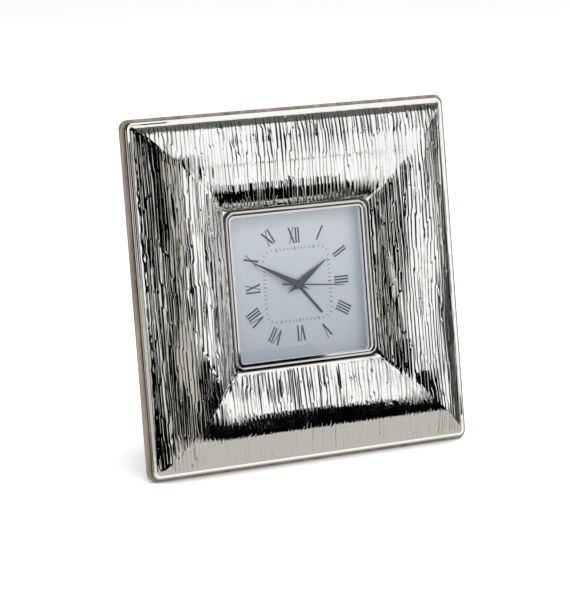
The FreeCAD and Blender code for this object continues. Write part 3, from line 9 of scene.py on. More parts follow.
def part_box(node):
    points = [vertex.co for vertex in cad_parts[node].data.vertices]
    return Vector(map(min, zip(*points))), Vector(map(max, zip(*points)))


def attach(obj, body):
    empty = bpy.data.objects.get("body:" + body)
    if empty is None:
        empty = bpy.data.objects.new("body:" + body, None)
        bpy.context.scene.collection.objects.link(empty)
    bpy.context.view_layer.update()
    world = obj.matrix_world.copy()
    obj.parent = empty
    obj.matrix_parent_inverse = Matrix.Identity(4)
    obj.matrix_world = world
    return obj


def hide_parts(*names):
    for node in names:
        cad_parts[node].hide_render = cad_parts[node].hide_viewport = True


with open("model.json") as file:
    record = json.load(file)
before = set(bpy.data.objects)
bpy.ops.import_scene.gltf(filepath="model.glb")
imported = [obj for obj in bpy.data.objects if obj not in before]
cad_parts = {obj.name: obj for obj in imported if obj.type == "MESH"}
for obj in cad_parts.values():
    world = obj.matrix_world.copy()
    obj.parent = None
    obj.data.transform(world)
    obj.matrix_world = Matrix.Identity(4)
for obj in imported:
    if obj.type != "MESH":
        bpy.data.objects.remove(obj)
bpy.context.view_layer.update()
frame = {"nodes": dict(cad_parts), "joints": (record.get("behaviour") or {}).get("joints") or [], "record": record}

# The upright frame's own coordinates are millimetres from the clock's axis: x to the right, v up the
# frame, and a height h in front of the back board's front face. The hands' joint gives the stance.
MM = 0.001
clock_joint = next(joint for joint in frame["joints"] if joint["name"] == "second_hand_turn")
lean = math.asin(-clock_joint["axis"][2])
STANCE = Matrix.Translation(clock_joint["pos_m"]) @ Matrix.Rotation(-lean, 4, "X")


def half_width(name):
    """Half a CAD node's width in millimetres, which the lean leaves as it is."""
    low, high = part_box(name)
    return round((high.x - low.x) / 2 / MM, 3)


# Section of the moulding, from its outer edge inwards
FRAME_HALF = half_width("back_board")
LIP_OUTER = half_width("frame_shell")
LIP_TOP = 2.2
LIP_FALL = 0.12
LIP_EDGE = 0.7
LIP_INNER = 76.8
CROWN_OFFSET = 60.0
CROWN_TOP = 13.2
COVE_FOOT = 35.8
BEAD_FOOT = 2.9
BEAD_INNER = 34.0
BEAD_RISE = 0.5

# Radii of the moulding's corners at distances from the axis. Between bead and lip they are all but sharp.
CORNER_PLACES = [33.0, BEAD_INNER, COVE_FOOT, 37.4, 74.5, LIP_INNER, LIP_OUTER]
CORNER_RADII = [2.9, 3.0, 4.6, 0.15, 0.15, 1.5, 3.0]

DIAL_FRONT = -1.4


def to_world(points):
    """Upright points, as rows of x, h and v in millimetres, to rows in the frame's metres."""
    points = np.asarray(points, float)
    local = np.stack([points[:, 0], -points[:, 1], points[:, 2]], 1) * MM
    turn = np.array(STANCE.to_3x3())
    return local @ turn.T + np.array(STANCE.translation)


def new_piece(name, points, faces, material, body="frame", smooth=False):
    """A mesh piece from upright points, riding on a body."""
    mesh = bpy.data.meshes.new(name)
    placed = to_world(points)
    if isinstance(faces, np.ndarray):
        mesh.vertices.add(len(placed))
        mesh.vertices.foreach_set("co", placed.astype(np.float32).ravel())
        mesh.loops.add(faces.size)
        mesh.loops.foreach_set("vertex_index", faces.astype(np.int32).ravel())
        mesh.polygons.add(len(faces))
        mesh.polygons.foreach_set("loop_start", np.arange(0, faces.size, faces.shape[1], dtype=np.int32))
        mesh.update(calc_edges=True)
    else:
        mesh.from_pydata([tuple(place) for place in placed], [], faces)
    mesh.validate()
    if smooth:
        mesh.shade_smooth()
    piece = bpy.data.objects.new(name, mesh)
    bpy.context.scene.collection.objects.link(piece)
    mesh.materials.append(material)
    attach(piece, body)
    return piece


# Materials


class Shader:
    """A node material round one Principled shader. Scales count per metre, distances are metres."""

    def __init__(self, name, color, metallic=0.0, roughness=0.5):
        self.material = bpy.data.materials.new(name)
        self.material.use_nodes = True
        self.tree = self.material.node_tree
        self.main = self.tree.nodes["Principled BSDF"]
        self.main.inputs["Base Color"].default_value = (*color, 1.0)
        self.main.inputs["Metallic"].default_value = metallic
        self.main.inputs["Roughness"].default_value = roughness
        self.color = color
        self.coords = None
        self.last_normal = None

    def add(self, kind, **values):
        """A new node, with values for its sockets or its own settings."""
        node = self.tree.nodes.new(kind)
        for key, value in values.items():
            if key in node.inputs:
                node.inputs[key].default_value = value
            else:
                setattr(node, key, value)
        return node

    def link(self, source, target):
        self.tree.links.new(source, target)

    def place(self, stretch):
        """Object coordinates in metres, stretched along the axes."""
        if self.coords is None:
            self.coords = self.add("ShaderNodeTexCoord")
        mapping = self.add("ShaderNodeMapping", Scale=stretch)
        self.link(self.coords.outputs["Object"], mapping.inputs["Vector"])
        return mapping.outputs["Vector"]

    def noise(self, scale, detail=3.0, stretch=(1.0, 1.0, 1.0), rough=0.5):
        """Noise in the piece's own space, stretched along the axes."""
        node = self.add("ShaderNodeTexNoise", Scale=scale, Detail=detail, Roughness=rough)
        self.link(self.place(stretch), node.inputs["Vector"])
        return node.outputs["Fac"]

    def spread(self, factor, low, high, start=0.3, end=0.7):
        """A factor spread over a range of values."""
        node = self.add("ShaderNodeMapRange")
        node.inputs["From Min"].default_value = start
        node.inputs["From Max"].default_value = end
        node.inputs["To Min"].default_value = low
        node.inputs["To Max"].default_value = high
        self.link(factor, node.inputs["Value"])
        return node.outputs["Result"]

    def ramp(self, factor, stops):
        """A colour ramp of places and colours."""
        node = self.add("ShaderNodeValToRGB")
        ramp = node.color_ramp
        while len(ramp.elements) < len(stops):
            ramp.elements.new(0.5)
        for element, (place, color) in zip(ramp.elements, stops):
            element.position = place
            element.color = (*color, 1.0)
        self.link(factor, node.inputs["Fac"])
        return node.outputs["Color"]

    def tint(self, factor, dark, light):
        """Varies the base colour between a dark and a light share of itself."""
        low = [channel * dark for channel in self.color]
        high = [min(1.0, channel * light) for channel in self.color]
        color = self.ramp(factor, [(0.3, low), (0.7, high)])
        self.link(color, self.main.inputs["Base Color"])

    def rough(self, factor, low, high):
        """Varies the roughness between two values."""
        self.link(self.spread(factor, low, high), self.main.inputs["Roughness"])

    def bump(self, factor, distance, strength=1.0):
        """Adds relief on top of the relief that is already there."""
        node = self.add("ShaderNodeBump", Distance=distance, Strength=strength)
        self.link(factor, node.inputs["Height"])
        if self.last_normal is not None:
            self.link(self.last_normal, node.inputs["Normal"])
        self.last_normal = node.outputs["Normal"]
        self.link(self.last_normal, self.main.inputs["Normal"])


def moulded(name, color, roughness, depth=0.00003):
    """Moulded plastic with a fine spark-eroded grain and slight handling gloss."""
    patches, gloss, grain = 60.0, 180.0, 2600.0
    shader = Shader(name, color, 0.0, roughness)
    shader.tint(shader.noise(patches, 2.0), 0.88, 1.12)
    shader.rough(shader.noise(gloss), roughness * 0.85, min(1.0, roughness * 1.2))
    shader.bump(shader.noise(grain, 2.0), depth, 0.6)
    return shader.material


def metal(name, color, roughness, stretch=(1.0, 1.0, 1.0), grain=900.0, depth=0.000012):
    """Bare or plated metal with drawn or lapped marks."""
    patches, marks = 140.0, 420.0
    shader = Shader(name, color, 1.0, roughness)
    shader.tint(shader.noise(patches), 0.9, 1.05)
    shader.rough(shader.noise(marks, 4.0, stretch), roughness * 0.7, min(1.0, roughness * 1.4))
    shader.bump(shader.noise(grain, 3.0, stretch), depth, 0.5)
    return shader.material


def silver_sheet():
    """Polished embossed silver: bright on top, darker and duller in the grooves, where tarnish and painted shade
    lie together.
    """
    bright, dull, deep = (0.95, 0.945, 0.93), (0.5, 0.49, 0.475), (0.06, 0.058, 0.055)
    wear_scale, polish_scale = 260.0, 1500.0
    shader = Shader("silver_sheet", bright, 1.0, 0.09)
    # this attribute darkens the silver: tarnish and painted shade in grooves and pits, painted shade along the
    # bead and the board's seam
    tarnish_and_shade = shader.add("ShaderNodeAttribute", attribute_name="tarnish_and_shade")
    color = shader.ramp(tarnish_and_shade.outputs["Fac"], [(0.25, bright), (0.5, dull), (0.8, deep)])
    shader.link(color, shader.main.inputs["Base Color"])
    shader.rough(shader.noise(wear_scale, 4.0, (1.0, 1.0, 0.25)), 0.03, 0.1)
    shader.bump(shader.noise(polish_scale, 2.0, (1.0, 1.0, 0.16)), 0.00003, 0.35)
    return shader.material


def stained_wood(name, light, dark, along):
    """Stained and varnished wood, its grain running along one axis."""
    ring_scale, pore_scale, pore_share = 22.0, 150.0, 0.35
    shader = Shader(name, light, 0.0, 0.42)
    stretch = [10.0, 10.0, 10.0]
    stretch[along] = 0.35
    rings = shader.noise(ring_scale, 5.0, stretch, rough=0.62)
    pores = shader.noise(pore_scale, 3.0, stretch, rough=0.7)
    mixed = shader.add("ShaderNodeMix", data_type="FLOAT")
    factor, first, second = mixed.inputs[0], mixed.inputs[2], mixed.inputs[3]
    factor.default_value = pore_share
    shader.link(rings, first)
    shader.link(pores, second)
    middle = [0.5 * (a + b) for a, b in zip(light, dark)]
    color = shader.ramp(mixed.outputs[0], [(0.36, dark), (0.5, middle), (0.64, light)])
    shader.link(color, shader.main.inputs["Base Color"])
    shader.rough(pores, 0.34, 0.5)
    shader.main.inputs["Coat Weight"].default_value = 0.5
    shader.main.inputs["Coat Roughness"].default_value = 0.25
    shader.bump(pores, 0.00008, 0.5)
    return shader.material


def clear_glass():
    """Flat thin glass: it mirrors by angle and lets the rest through."""
    shader = Shader("crystal_glass", (1.0, 1.0, 1.0), 1.0, 0.0)
    smear_scale = 30.0
    shader.rough(shader.noise(smear_scale, 2.0), 0.0, 0.02)
    weight = shader.add("ShaderNodeLayerWeight")
    mirrored = [(0.0, 0.012), (0.3, 0.016), (0.5, 0.035), (0.7, 0.1), (0.85, 0.3), (1.0, 0.9)]
    share = shader.ramp(weight.outputs["Facing"], [(place, (level,) * 3) for place, level in mirrored])
    shader.link(share, shader.main.inputs["Alpha"])
    return shader.material


def dial_face():
    """Satin silvered dial, with painted light and shade: lighter towards its top, darker towards its bottom."""
    shaded_bottom, middle, lit_top = (0.296, 0.328, 0.362), (0.341, 0.373, 0.414), (0.416, 0.445, 0.477)
    brush_scale, grain_scale = 300.0, 4000.0
    shader = Shader("dial_face", (0.58, 0.615, 0.665), 0.25, 0.42)
    coords = shader.add("ShaderNodeTexCoord")
    split = shader.add("ShaderNodeSeparateXYZ")
    shader.link(coords.outputs["Object"], split.inputs["Vector"])
    low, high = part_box("dial")
    height = shader.spread(split.outputs["Z"], 0.0, 1.0, low.z, high.z)
    # painted light and shade: the colour runs from darker at the bottom to lighter at the top
    color = shader.ramp(height, [(0.0, shaded_bottom), (0.45, middle), (1.0, lit_top)])
    shader.link(color, shader.main.inputs["Base Color"])
    shader.rough(shader.noise(brush_scale, 3.0, (6.0, 1.0, 0.5)), 0.36, 0.5)
    shader.bump(shader.noise(grain_scale, 2.0), 0.000004, 0.4)
    return shader.material


def numeral_ink():
    """Nearly black printing ink, a little uneven."""
    patches, grain = 900.0, 3000.0
    ink = Shader("numeral_ink", (0.035, 0.04, 0.05), 0.0, 0.45)
    ink.tint(ink.noise(patches), 0.7, 1.3)
    ink.bump(ink.noise(grain), 0.000005)
    return ink.material


def hand_lacquer():
    """Dark, half metallic lacquer of the hands."""
    patches, gloss, grain = 500.0, 900.0, 2500.0
    lacquer = Shader("hand_lacquer", (0.055, 0.062, 0.075), 0.55, 0.32)
    lacquer.tint(lacquer.noise(patches), 0.8, 1.25)
    lacquer.rough(lacquer.noise(gloss), 0.26, 0.4)
    lacquer.bump(lacquer.noise(grain), 0.000004, 0.5)
    return lacquer.material


X_AXIS, Z_AXIS = 0, 2
SILVER = silver_sheet()
WOOD = stained_wood("board_wood", (0.33, 0.265, 0.19), (0.11, 0.084, 0.058), Z_AXIS)
LEG_WOOD = stained_wood("leg_wood", (0.30, 0.17, 0.09), (0.09, 0.045, 0.025), Z_AXIS)
INK = numeral_ink()
LACQUER = hand_lacquer()

finishes = {
    "silver_sheet": SILVER,
    "frame_filler": stained_wood("filler_wood", (0.62, 0.48, 0.33), (0.42, 0.3, 0.19), X_AXIS),
    "stained_wood": WOOD,
    "bezel_metal": metal("bezel_chrome", (0.72, 0.71, 0.68), 0.07, grain=2500.0, depth=0.000004),
    "glass": clear_glass(),
    "gasket_rubber": moulded("gasket_rubber", (0.03, 0.03, 0.032), 0.7),
    "case_plastic": moulded("case_plastic", (0.62, 0.66, 0.71), 0.38, depth=0.00001),
    "dial_metal": dial_face(),
    "hand_metal": LACQUER,
    "housing_plastic": moulded("housing_plastic", (0.018, 0.018, 0.02), 0.5),
    "plate_plastic": moulded("plate_plastic", (0.72, 0.7, 0.64), 0.45),
    "wheel_plastic": moulded("wheel_plastic", (0.8, 0.77, 0.68), 0.4),
    "wheel_brass": metal("wheel_brass", (0.83, 0.65, 0.32), 0.25),
    "steel": metal("screw_steel", (0.6, 0.6, 0.62), 0.25),
    "contact_metal": metal("contact_metal", (0.76, 0.74, 0.68), 0.22, (1.0, 1.0, 8.0)),
    "cell_jacket": moulded("cell_jacket", (0.1, 0.13, 0.16), 0.3, depth=0.000008),
    "board_laminate": moulded("board_laminate", (0.03, 0.16, 0.06), 0.35),
    "can_metal": metal("can_metal", (0.8, 0.8, 0.81), 0.18),
    "chip_resin": moulded("chip_resin", (0.015, 0.015, 0.015), 0.6),
    "coil_copper": metal("coil_copper", (0.8, 0.42, 0.22), 0.3, (12.0, 1.0, 1.0)),
    "magnet": metal("rotor_magnet", (0.16, 0.16, 0.17), 0.45),
    "knob_plastic": moulded("knob_plastic", (0.02, 0.02, 0.022), 0.32, depth=0.000012),
    "hinge_brass": metal("hinge_brass", (0.72, 0.56, 0.3), 0.32, (8.0, 1.0, 1.0)),
    "clip_steel": metal("clip_steel", (0.66, 0.66, 0.68), 0.3, (1.0, 1.0, 6.0)),
}
for row in frame["record"]["subparts"]:
    node = frame["nodes"][row["node"]]
    node.data.materials.clear()
    node.data.materials.append(finishes[row["material_slot"]])
frame["nodes"]["easel_leg"].data.materials[0] = LEG_WOOD


def soften(name, width):
    """Rounds a CAD node's edges a little, as tools and moulds leave them."""
    node = frame["nodes"][name]
    weld = node.modifiers.new("weld", "WELD")
    weld.merge_threshold = 0.000002
    bevel = node.modifiers.new("bevel", "BEVEL")
    bevel.width = width * MM
    bevel.segments = 2
    bevel.limit_method = "ANGLE"
    bevel.angle_limit = math.radians(40.0)
    bevel.harden_normals = False


# Widths of the rounded edges in millimetres
rounded_edges = {
    "easel_leg": 0.7, "time_set_knob": 0.25, "alarm_set_knob": 0.25, "battery_door": 0.2,
    "hinge_frame_leaf": 0.15, "hinge_leg_leaf": 0.15,
}
for name, width in rounded_edges.items():
    soften(name, width)


# Embossed silver sheet

SHEET_DEPTH = 0.35
STREAK_SHEAR = 0.4

# Noises of the bark: cell across the streaks, cell along them, and seed
BARK_NOISES = {
    "bend": (14.0, 60.0, 11), "drift": (3.6, 30.0, 21), "jog": (3.0, 10.0, 22),
    "fine_drift": (2.4, 18.0, 23), "strength": (2.0, 18.0, 24), "tilt": (1.9, 22.0, 25),
    "fine_strength": (1.7, 13.0, 26), "swell": (2.4, 14.0, 27),
}
MITRE_NOISE = (1.3, 8.0, 33)
MARGIN_NOISE = (2.6, 2.6, 31)


def ease(share):
    """A share from 0 to 1 that leaves and arrives gently."""
    return share * share * (3.0 - 2.0 * share)


def lattice_noise(x, v, cell_x, cell_v, seed):
    """Smooth random heights from -1 to 1 on a lattice stretched along v."""
    random = np.random.default_rng(seed)
    reach, spare = 100.0, 4
    columns = int(2 * reach / cell_x) + spare
    rows = int(2 * reach / cell_v) + spare
    values = random.uniform(-1.0, 1.0, (columns, rows))
    # every column of the lattice is shifted along v by its own amount, so rows never line up
    shift = random.uniform(0.0, 1.0, columns)
    across = (x + reach) / cell_x
    left = np.clip(np.floor(across).astype(int), 0, columns - 2)
    right_weight = ease(np.clip(across - left, 0.0, 1.0))
    total = 0.0
    for column, weight in ((left, 1.0 - right_weight), (left + 1, right_weight)):
        along = (v + reach) / cell_v + shift[column]
        row = np.clip(np.floor(along).astype(int), 0, rows - 2)
        upper = ease(np.clip(along - row, 0.0, 1.0))
        total = total + weight * (values[column, row] * (1.0 - upper) + values[column, row + 1] * upper)
    return total


def ridges(phase, width):
    """Sharp V grooves wherever the phase passes a whole number, and the place between them, -0.5 to 0.5."""
    place = phase - np.floor(phase)
    groove = np.clip(1.0 - np.minimum(place, 1.0 - place) / width, 0.0, 1.0)
    return groove, place - 0.5


def embossing(x, v, height):
    """The bark-like embossing: its depth in millimetres, and how dark its grooves are, tarnish and painted shade
    together.
    """
    spacing, fine_spacing = 1.85, 1.0
    groove_width_share, fine_width_share = 0.2, 0.26
    groove_depth, fine_depth, hollow_depth, slope_depth, swell_depth = 0.17, 0.08, 0.04, 0.15, 0.03
    # how far the streaks wander, in spacings
    bend_reach, drift_reach, jog_reach, jog_steepness, fine_drift_reach = 0.9, 0.26, 0.17, 9.0, 0.35
    usual_strength, strength_range, least_strength, most_strength = 0.85, 0.55, 0.1, 1.1
    # the last value weights the fine grooves' darkening, tarnish and painted shade
    fine_contrast, fine_cut, tilt_contrast, fine_tarnish_and_shade = 2.4, 0.35, 1.5, 0.8
    low_edge_start, low_edge_fade, low_edge_least = -64.0, 3.0, 0.45
    # the next two rows place and weight the painted shade in the outer slopes' grooves
    slope_start, slope_fade, slope_shade = 56.0, 8.0, 0.5
    low_start, low_fade, low_shade = -10.0, 40.0, 0.5
    across = x + STREAK_SHEAR * height

    def bark(kind):
        return lattice_noise(across, v, *BARK_NOISES[kind])

    drift = drift_reach * bark("drift") + bend_reach * bark("bend")
    jogs = jog_reach * np.clip(bark("jog") * jog_steepness, -1.0, 1.0)
    groove, place = ridges(across / spacing + drift + jogs, groove_width_share)
    fine, _ = ridges(across / fine_spacing + fine_drift_reach * bark("fine_drift"), fine_width_share)
    strength = usual_strength + strength_range * bark("strength")
    strength = np.clip(strength, least_strength, most_strength)
    fine_strength = np.clip(bark("fine_strength") * fine_contrast - fine_cut, 0.0, 1.0)
    tilt = np.clip(tilt_contrast * bark("tilt"), -1.0, 1.0)
    depth = groove_depth * strength * groove + fine_depth * fine_strength * fine
    depth += hollow_depth * place * place
    depth += slope_depth * (1.0 + 2.0 * tilt * place) + swell_depth * (1.0 + bark("swell"))
    # the grooves darken less along the lowest edge, and on the outer slopes they get painted shade on top, most of
    # all low down
    low_edge_share = np.clip((v - low_edge_start) / low_edge_fade, low_edge_least, 1.0)
    outer_slope = np.clip((np.abs(x) - slope_start) / slope_fade, 0.0, 1.0)
    low_down = np.clip((low_start - v) / low_fade, 0.0, 1.0)
    outer_shade = 1.0 + outer_slope * (slope_shade + low_shade * low_down)
    tarnish_and_shade = low_edge_share * outer_shade * np.maximum(strength * groove, fine_tarnish_and_shade * fine_strength * fine)
    return depth, np.clip(tarnish_and_shade, 0.0, 1.0)


def pits(x, v):
    """Small round punch marks scattered over the sheet: their depth in millimetres."""
    count, seed, depth, reach, window = 110, 41, 0.28, 76, 1.6
    smallest, largest, flattened = 0.18, 0.34, 0.8
    random = np.random.default_rng(seed)
    total = np.zeros_like(x)
    marks = random.uniform((-reach, -reach, smallest), (reach, reach, largest), (count, 3))
    for pit_x, pit_v, size in marks:
        near = (np.abs(x - pit_x) < window) & (np.abs(v - pit_v) < window)
        distance = np.hypot(x[near] - pit_x, (v[near] - pit_v) * flattened)
        total[near] += depth * np.exp(-((distance / size) ** 2))
    return total


def arc_radius(run, drop):
    """Radius of the arc that starts level and drops by so much over a run."""
    return (run * run + drop * drop) / (2 * drop)


def moulding_section(step):
    """Samples of the section from the outer edge inwards: distance from the axis, height and normal."""
    rows = []

    def line(start, end, normal, count):
        for share in np.linspace(0.0, 1.0, count, endpoint=False):
            rows.append((*(np.array(start) * (1 - share) + np.array(end) * share), *normal))

    def arc(centre, radius, first, last, count):
        for angle in np.radians(np.linspace(first, last, count, endpoint=False)):
            normal = (math.cos(angle), math.sin(angle))
            rows.append((centre[0] + radius * normal[0], centre[1] + radius * normal[1], *normal))

    # lip
    line((LIP_OUTER, 0.0), (LIP_OUTER, LIP_TOP - LIP_EDGE), (1.0, 0.0), 4)
    arc((LIP_OUTER - LIP_EDGE, LIP_TOP - LIP_EDGE), LIP_EDGE, 0.0, 90.0, 7)
    line((LIP_OUTER - LIP_EDGE, LIP_TOP), (LIP_INNER, LIP_TOP - LIP_FALL), (0.0, 1.0), 5)
    # crown, from the lip up to its top
    run = LIP_INNER - CROWN_OFFSET
    drop = CROWN_TOP - LIP_TOP
    radius = arc_radius(run, drop)
    start = math.degrees(math.atan2(radius - drop, run))
    count = int(radius * math.radians(90 - start) / step)
    arc((CROWN_OFFSET, CROWN_TOP - radius), radius, start, 90.0, count)
    # slope from the crown's top down to the bead
    run = CROWN_OFFSET - COVE_FOOT
    drop = CROWN_TOP - BEAD_FOOT
    radius = arc_radius(run, drop)
    end = 90.0 + math.degrees(math.atan2(run, radius - drop))
    count = int(radius * math.radians(end - 90) / step)
    arc((CROWN_OFFSET, CROWN_TOP - radius), radius, 90.0, end, count)
    # bead round the clock
    half = (COVE_FOOT - BEAD_INNER) / 2
    radius = arc_radius(half, BEAD_RISE)
    start = math.degrees(math.atan2(radius - BEAD_RISE, half))
    middle = (COVE_FOOT + BEAD_INNER) / 2
    arc((middle, BEAD_FOOT + BEAD_RISE - radius), radius, start, 180.0 - start, 12)
    line((BEAD_INNER, BEAD_FOOT), (BEAD_INNER, 0.0), (-1.0, 0.0), 4)
    rows.append((BEAD_INNER, 0.0, -1.0, 0.0))
    return np.array(rows)


def moulding_height(distance):
    """Height of the crown and the slope inside it, at a distance from the clock's axis."""
    outside = distance > CROWN_OFFSET
    run = np.where(outside, LIP_INNER - CROWN_OFFSET, CROWN_OFFSET - COVE_FOOT)
    drop = np.where(outside, CROWN_TOP - LIP_TOP, CROWN_TOP - BEAD_FOOT)
    radius = arc_radius(run, drop)
    return CROWN_TOP - radius + np.sqrt(np.maximum(radius ** 2 - (distance - CROWN_OFFSET) ** 2, 0.0))


def mitre_drop(x, v, distance):
    """How much lower the sheet lies where the press has softened the mitre and made it ragged."""
    softness, raggedness, reach = 0.45, 0.7, 4.0
    near = np.exp(-(((np.abs(x) - np.abs(v)) / reach) ** 2))
    upright = np.abs(v) + raggedness * near * lattice_noise(x, v, *MITRE_NOISE)
    middle, half = 0.5 * (upright + np.abs(x)), 0.5 * (upright - np.abs(x))
    blended = middle + np.sqrt(half * half + softness * softness * near)
    return moulding_height(distance) - moulding_height(blended)


def embossed_share(x, v, distance):
    """How much of the embossing's depth is there: all of it but at the ragged margins of lip and bead."""
    lip_margin, lip_fade, bead_margin, bead_fade, raggedness = 0.5, 0.7, 0.7, 0.8, 0.3
    ragged = raggedness * lattice_noise(x, v, *MARGIN_NOISE)
    outer = np.clip((LIP_INNER - lip_margin + ragged - distance) / lip_fade, 0.0, 1.0)
    inner = np.clip((distance - COVE_FOOT - bead_margin + ragged) / bead_fade, 0.0, 1.0)
    return ease(outer) * ease(inner)


def painted_shade_lines(distance, height):
    """Painted shade: a dark line at the bead's foot, the bead a little darker as a painted dark reflection, and a
    dark line where the outer edge meets the board.
    """
    foot_margin, foot_reach, seam_depth, seam_height = 0.1, 0.45, 0.1, 1.2
    bead_shade, seam_shade = 0.42, 0.75
    foot = np.exp(-(((distance - COVE_FOOT - foot_margin) / foot_reach) ** 2))
    bead = np.where(distance < COVE_FOOT, bead_shade, 0.0)
    in_seam = (distance > LIP_OUTER - seam_depth) & (height < seam_height)
    return np.maximum.reduce([foot, bead, np.where(in_seam, seam_shade, 0.0)])


def member_grid(out, run, ring_step, column_step):
    """One side of the moulding, mitred at both ends: its points and how dark each one is, tarnish and painted
    shade together.
    """
    corner_steps, mitre_reach, largest_rise, pit_tarnish_and_shade = 4, 1.5, 0.3, 3.5
    section = moulding_section(ring_step)
    offset, section_height, radial, rise = (column[:, None] for column in section.T)
    corner = np.interp(offset, CORNER_PLACES, CORNER_RADII)
    core = offset - corner
    # each end turns half a corner, round to its mitre
    along = np.linspace(-1.0, 1.0, int(2 * LIP_OUTER / column_step))
    bend = np.linspace(0.0, math.pi / 4, corner_steps + 1)[1:]
    turn = np.concatenate([-bend[::-1], np.zeros(len(along)), bend])[None, :]
    share = np.concatenate([np.full(len(bend), -1.0), along, np.full(len(bend), 1.0)])[None, :]
    normal_x = np.cos(turn) * out[0] + np.sin(turn) * run[0]
    normal_v = np.cos(turn) * out[1] + np.sin(turn) * run[1]
    x = core * (out[0] + run[0] * share) + corner * normal_x
    v = core * (out[1] + run[1] * share) + corner * normal_v
    distance = np.repeat(offset, x.shape[1], 1)
    height = np.repeat(section_height, x.shape[1], 1)
    mask = embossed_share(x, v, distance)
    depth, tarnish_and_shade = embossing(x, v, height)
    punched = pits(x, v)
    # the punch marks are darkened: tarnish and painted shade in their hollows
    tarnish_and_shade = np.maximum(tarnish_and_shade, pit_tarnish_and_shade * punched)
    depth = mask * np.clip(depth + punched, 0.0, SHEET_DEPTH)
    drop = mask * np.clip(mitre_drop(x, v, distance), -largest_rise, SHEET_DEPTH - depth)
    # close to a mitre the depth is taken ever straighter down, so that neighbouring sides meet
    slant = np.clip((1.0 - np.abs(share)) * core / mitre_reach, 0.0, 1.0) * depth * radial
    points = np.stack([x - slant * normal_x, height - depth * rise - drop, v - slant * normal_v], -1)
    # painted shade lines at the bead and at the board's seam are laid over the darkening
    return points, np.maximum(mask * tarnish_and_shade, painted_shade_lines(distance, height))


def build_moulding():
    coarse, fine = ((0.6, 0.2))
    # streaks run up the frame, so samples are close together across them and further apart along them
    sides = [
        ((0, 1), (-1, 0), coarse, fine), ((0, -1), (1, 0), coarse, fine),
        ((1, 0), (0, 1), fine, coarse), ((-1, 0), (0, -1), fine, coarse),
    ]
    all_points, all_faces, all_tarnish_and_shade = [], [], []
    total = 0
    for out, run, ring_step, column_step in sides:
        points, tarnish_and_shade = member_grid(out, run, ring_step, column_step)
        rings, columns = tarnish_and_shade.shape
        index = total + np.arange(rings * columns).reshape(rings, columns)
        corners = [index[:-1, :-1], index[:-1, 1:], index[1:, 1:], index[1:, :-1]]
        all_faces.append(np.stack(corners, -1).reshape(-1, 4))
        all_points.append(points.reshape(-1, 3))
        all_tarnish_and_shade.append(tarnish_and_shade.ravel())
        total += rings * columns
    points = np.concatenate(all_points)
    faces = np.concatenate(all_faces)
    piece = new_piece("embossed_silver_sheet", points, faces, SILVER, smooth=True)
    # the attribute holds the darkening of the silver: tarnish and painted shade together
    attribute = piece.data.attributes.new("tarnish_and_shade", "FLOAT", "POINT")
    attribute.data.foreach_set("value", np.concatenate(all_tarnish_and_shade).astype(np.float32))
    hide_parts("frame_shell")


# Dial printing

INK_THICKNESS = 0.03
NUMERALS = ["XII", "I", "II", "III", "IIII", "V", "VI", "VII", "VIII", "IX", "X", "XI"]
NUMERAL_HEIGHT = 6.9
NUMERAL_SQUARE_HALF = 22.2
TRACK_SQUARE_HALF = 16.3
TRACK_CORNER = 4.5

# Shares of a numeral's height
LETTER_ADVANCE_SHARES = {"I": 0.19, "V": 0.44, "X": 0.46}
STEM_SHARE = 0.125
HAIRLINE_SHARE = 0.055
SERIF_SHARE = 0.03
SERIF_REACH_SHARE = 0.088
SLOPE_SHARE = 0.165


def joined(parts):
    """Points and faces of several meshes as one."""
    points, faces = [], []
    for more, sides in parts:
        base = len(points)
        points.extend(more)
        faces.extend(tuple(base + k for k in side) for side in sides)
    return points, faces


def printed(outline):
    """Points and faces of a flat polygon of ink on the dial. The outline is (x, v) in millimetres."""
    low, high = DIAL_FRONT, DIAL_FRONT + INK_THICKNESS
    count = len(outline)
    points = [(x, low, v) for x, v in outline] + [(x, high, v) for x, v in outline]
    faces = [tuple(range(count)), tuple(range(2 * count - 1, count - 1, -1))]
    for k in range(count):
        following = (k + 1) % count
        faces.append((k + count, following + count, following, k))
    return points, faces


def bar(start, end, wide):
    """A stroke between two places, cut level at its ends."""
    half = wide / 2
    first = [(start[0] - half, start[1]), (start[0] + half, start[1])]
    return first + [(end[0] + half, end[1]), (end[0] - half, end[1])]


def letter_strokes(letter):
    """Strokes of a serif Roman letter of unit height, about its middle."""
    slope = SLOPE_SHARE
    strokes = []
    ends = []
    if letter == "I":
        strokes.append(bar((0, 0), (0, 1), STEM_SHARE * 0.85))
        ends = [(0, 0), (0, 1)]
    if letter == "V":
        strokes += [bar((0, 0), (-slope, 1), STEM_SHARE), bar((0, 0), (slope, 1), HAIRLINE_SHARE)]
        ends = [(-slope, 1), (slope, 1)]
    if letter == "X":
        strokes += [bar((slope, 0), (-slope, 1), STEM_SHARE), bar((-slope, 0), (slope, 1), HAIRLINE_SHARE)]
        ends = [(-slope, 1), (slope, 1), (-slope, 0), (slope, 0)]
    for x, y in ends:
        foot = y - SERIF_SHARE if y else y
        cap = foot + SERIF_SHARE
        left, right = x - SERIF_REACH_SHARE, x + SERIF_REACH_SHARE
        strokes.append([(left, foot), (right, foot), (right, cap), (left, cap)])
    return strokes


def clock_axes(turns):
    """Directions on the dial, outwards and clockwise, at a share of a turn past twelve."""
    angle = 2 * math.pi * turns
    return (math.sin(angle), math.cos(angle)), (math.cos(angle), -math.sin(angle))


def on_dial(turns, up, right):
    """A place on the dial, by its distance out from the axis and clockwise of that line."""
    out, side = clock_axes(turns)
    return (out[0] * up + side[0] * right, out[1] * up + side[1] * right)


def square_reach(turns, half):
    """Distance from the axis to a square ring round it."""
    out, _ = clock_axes(turns)
    return half / max(abs(out[0]), abs(out[1]))


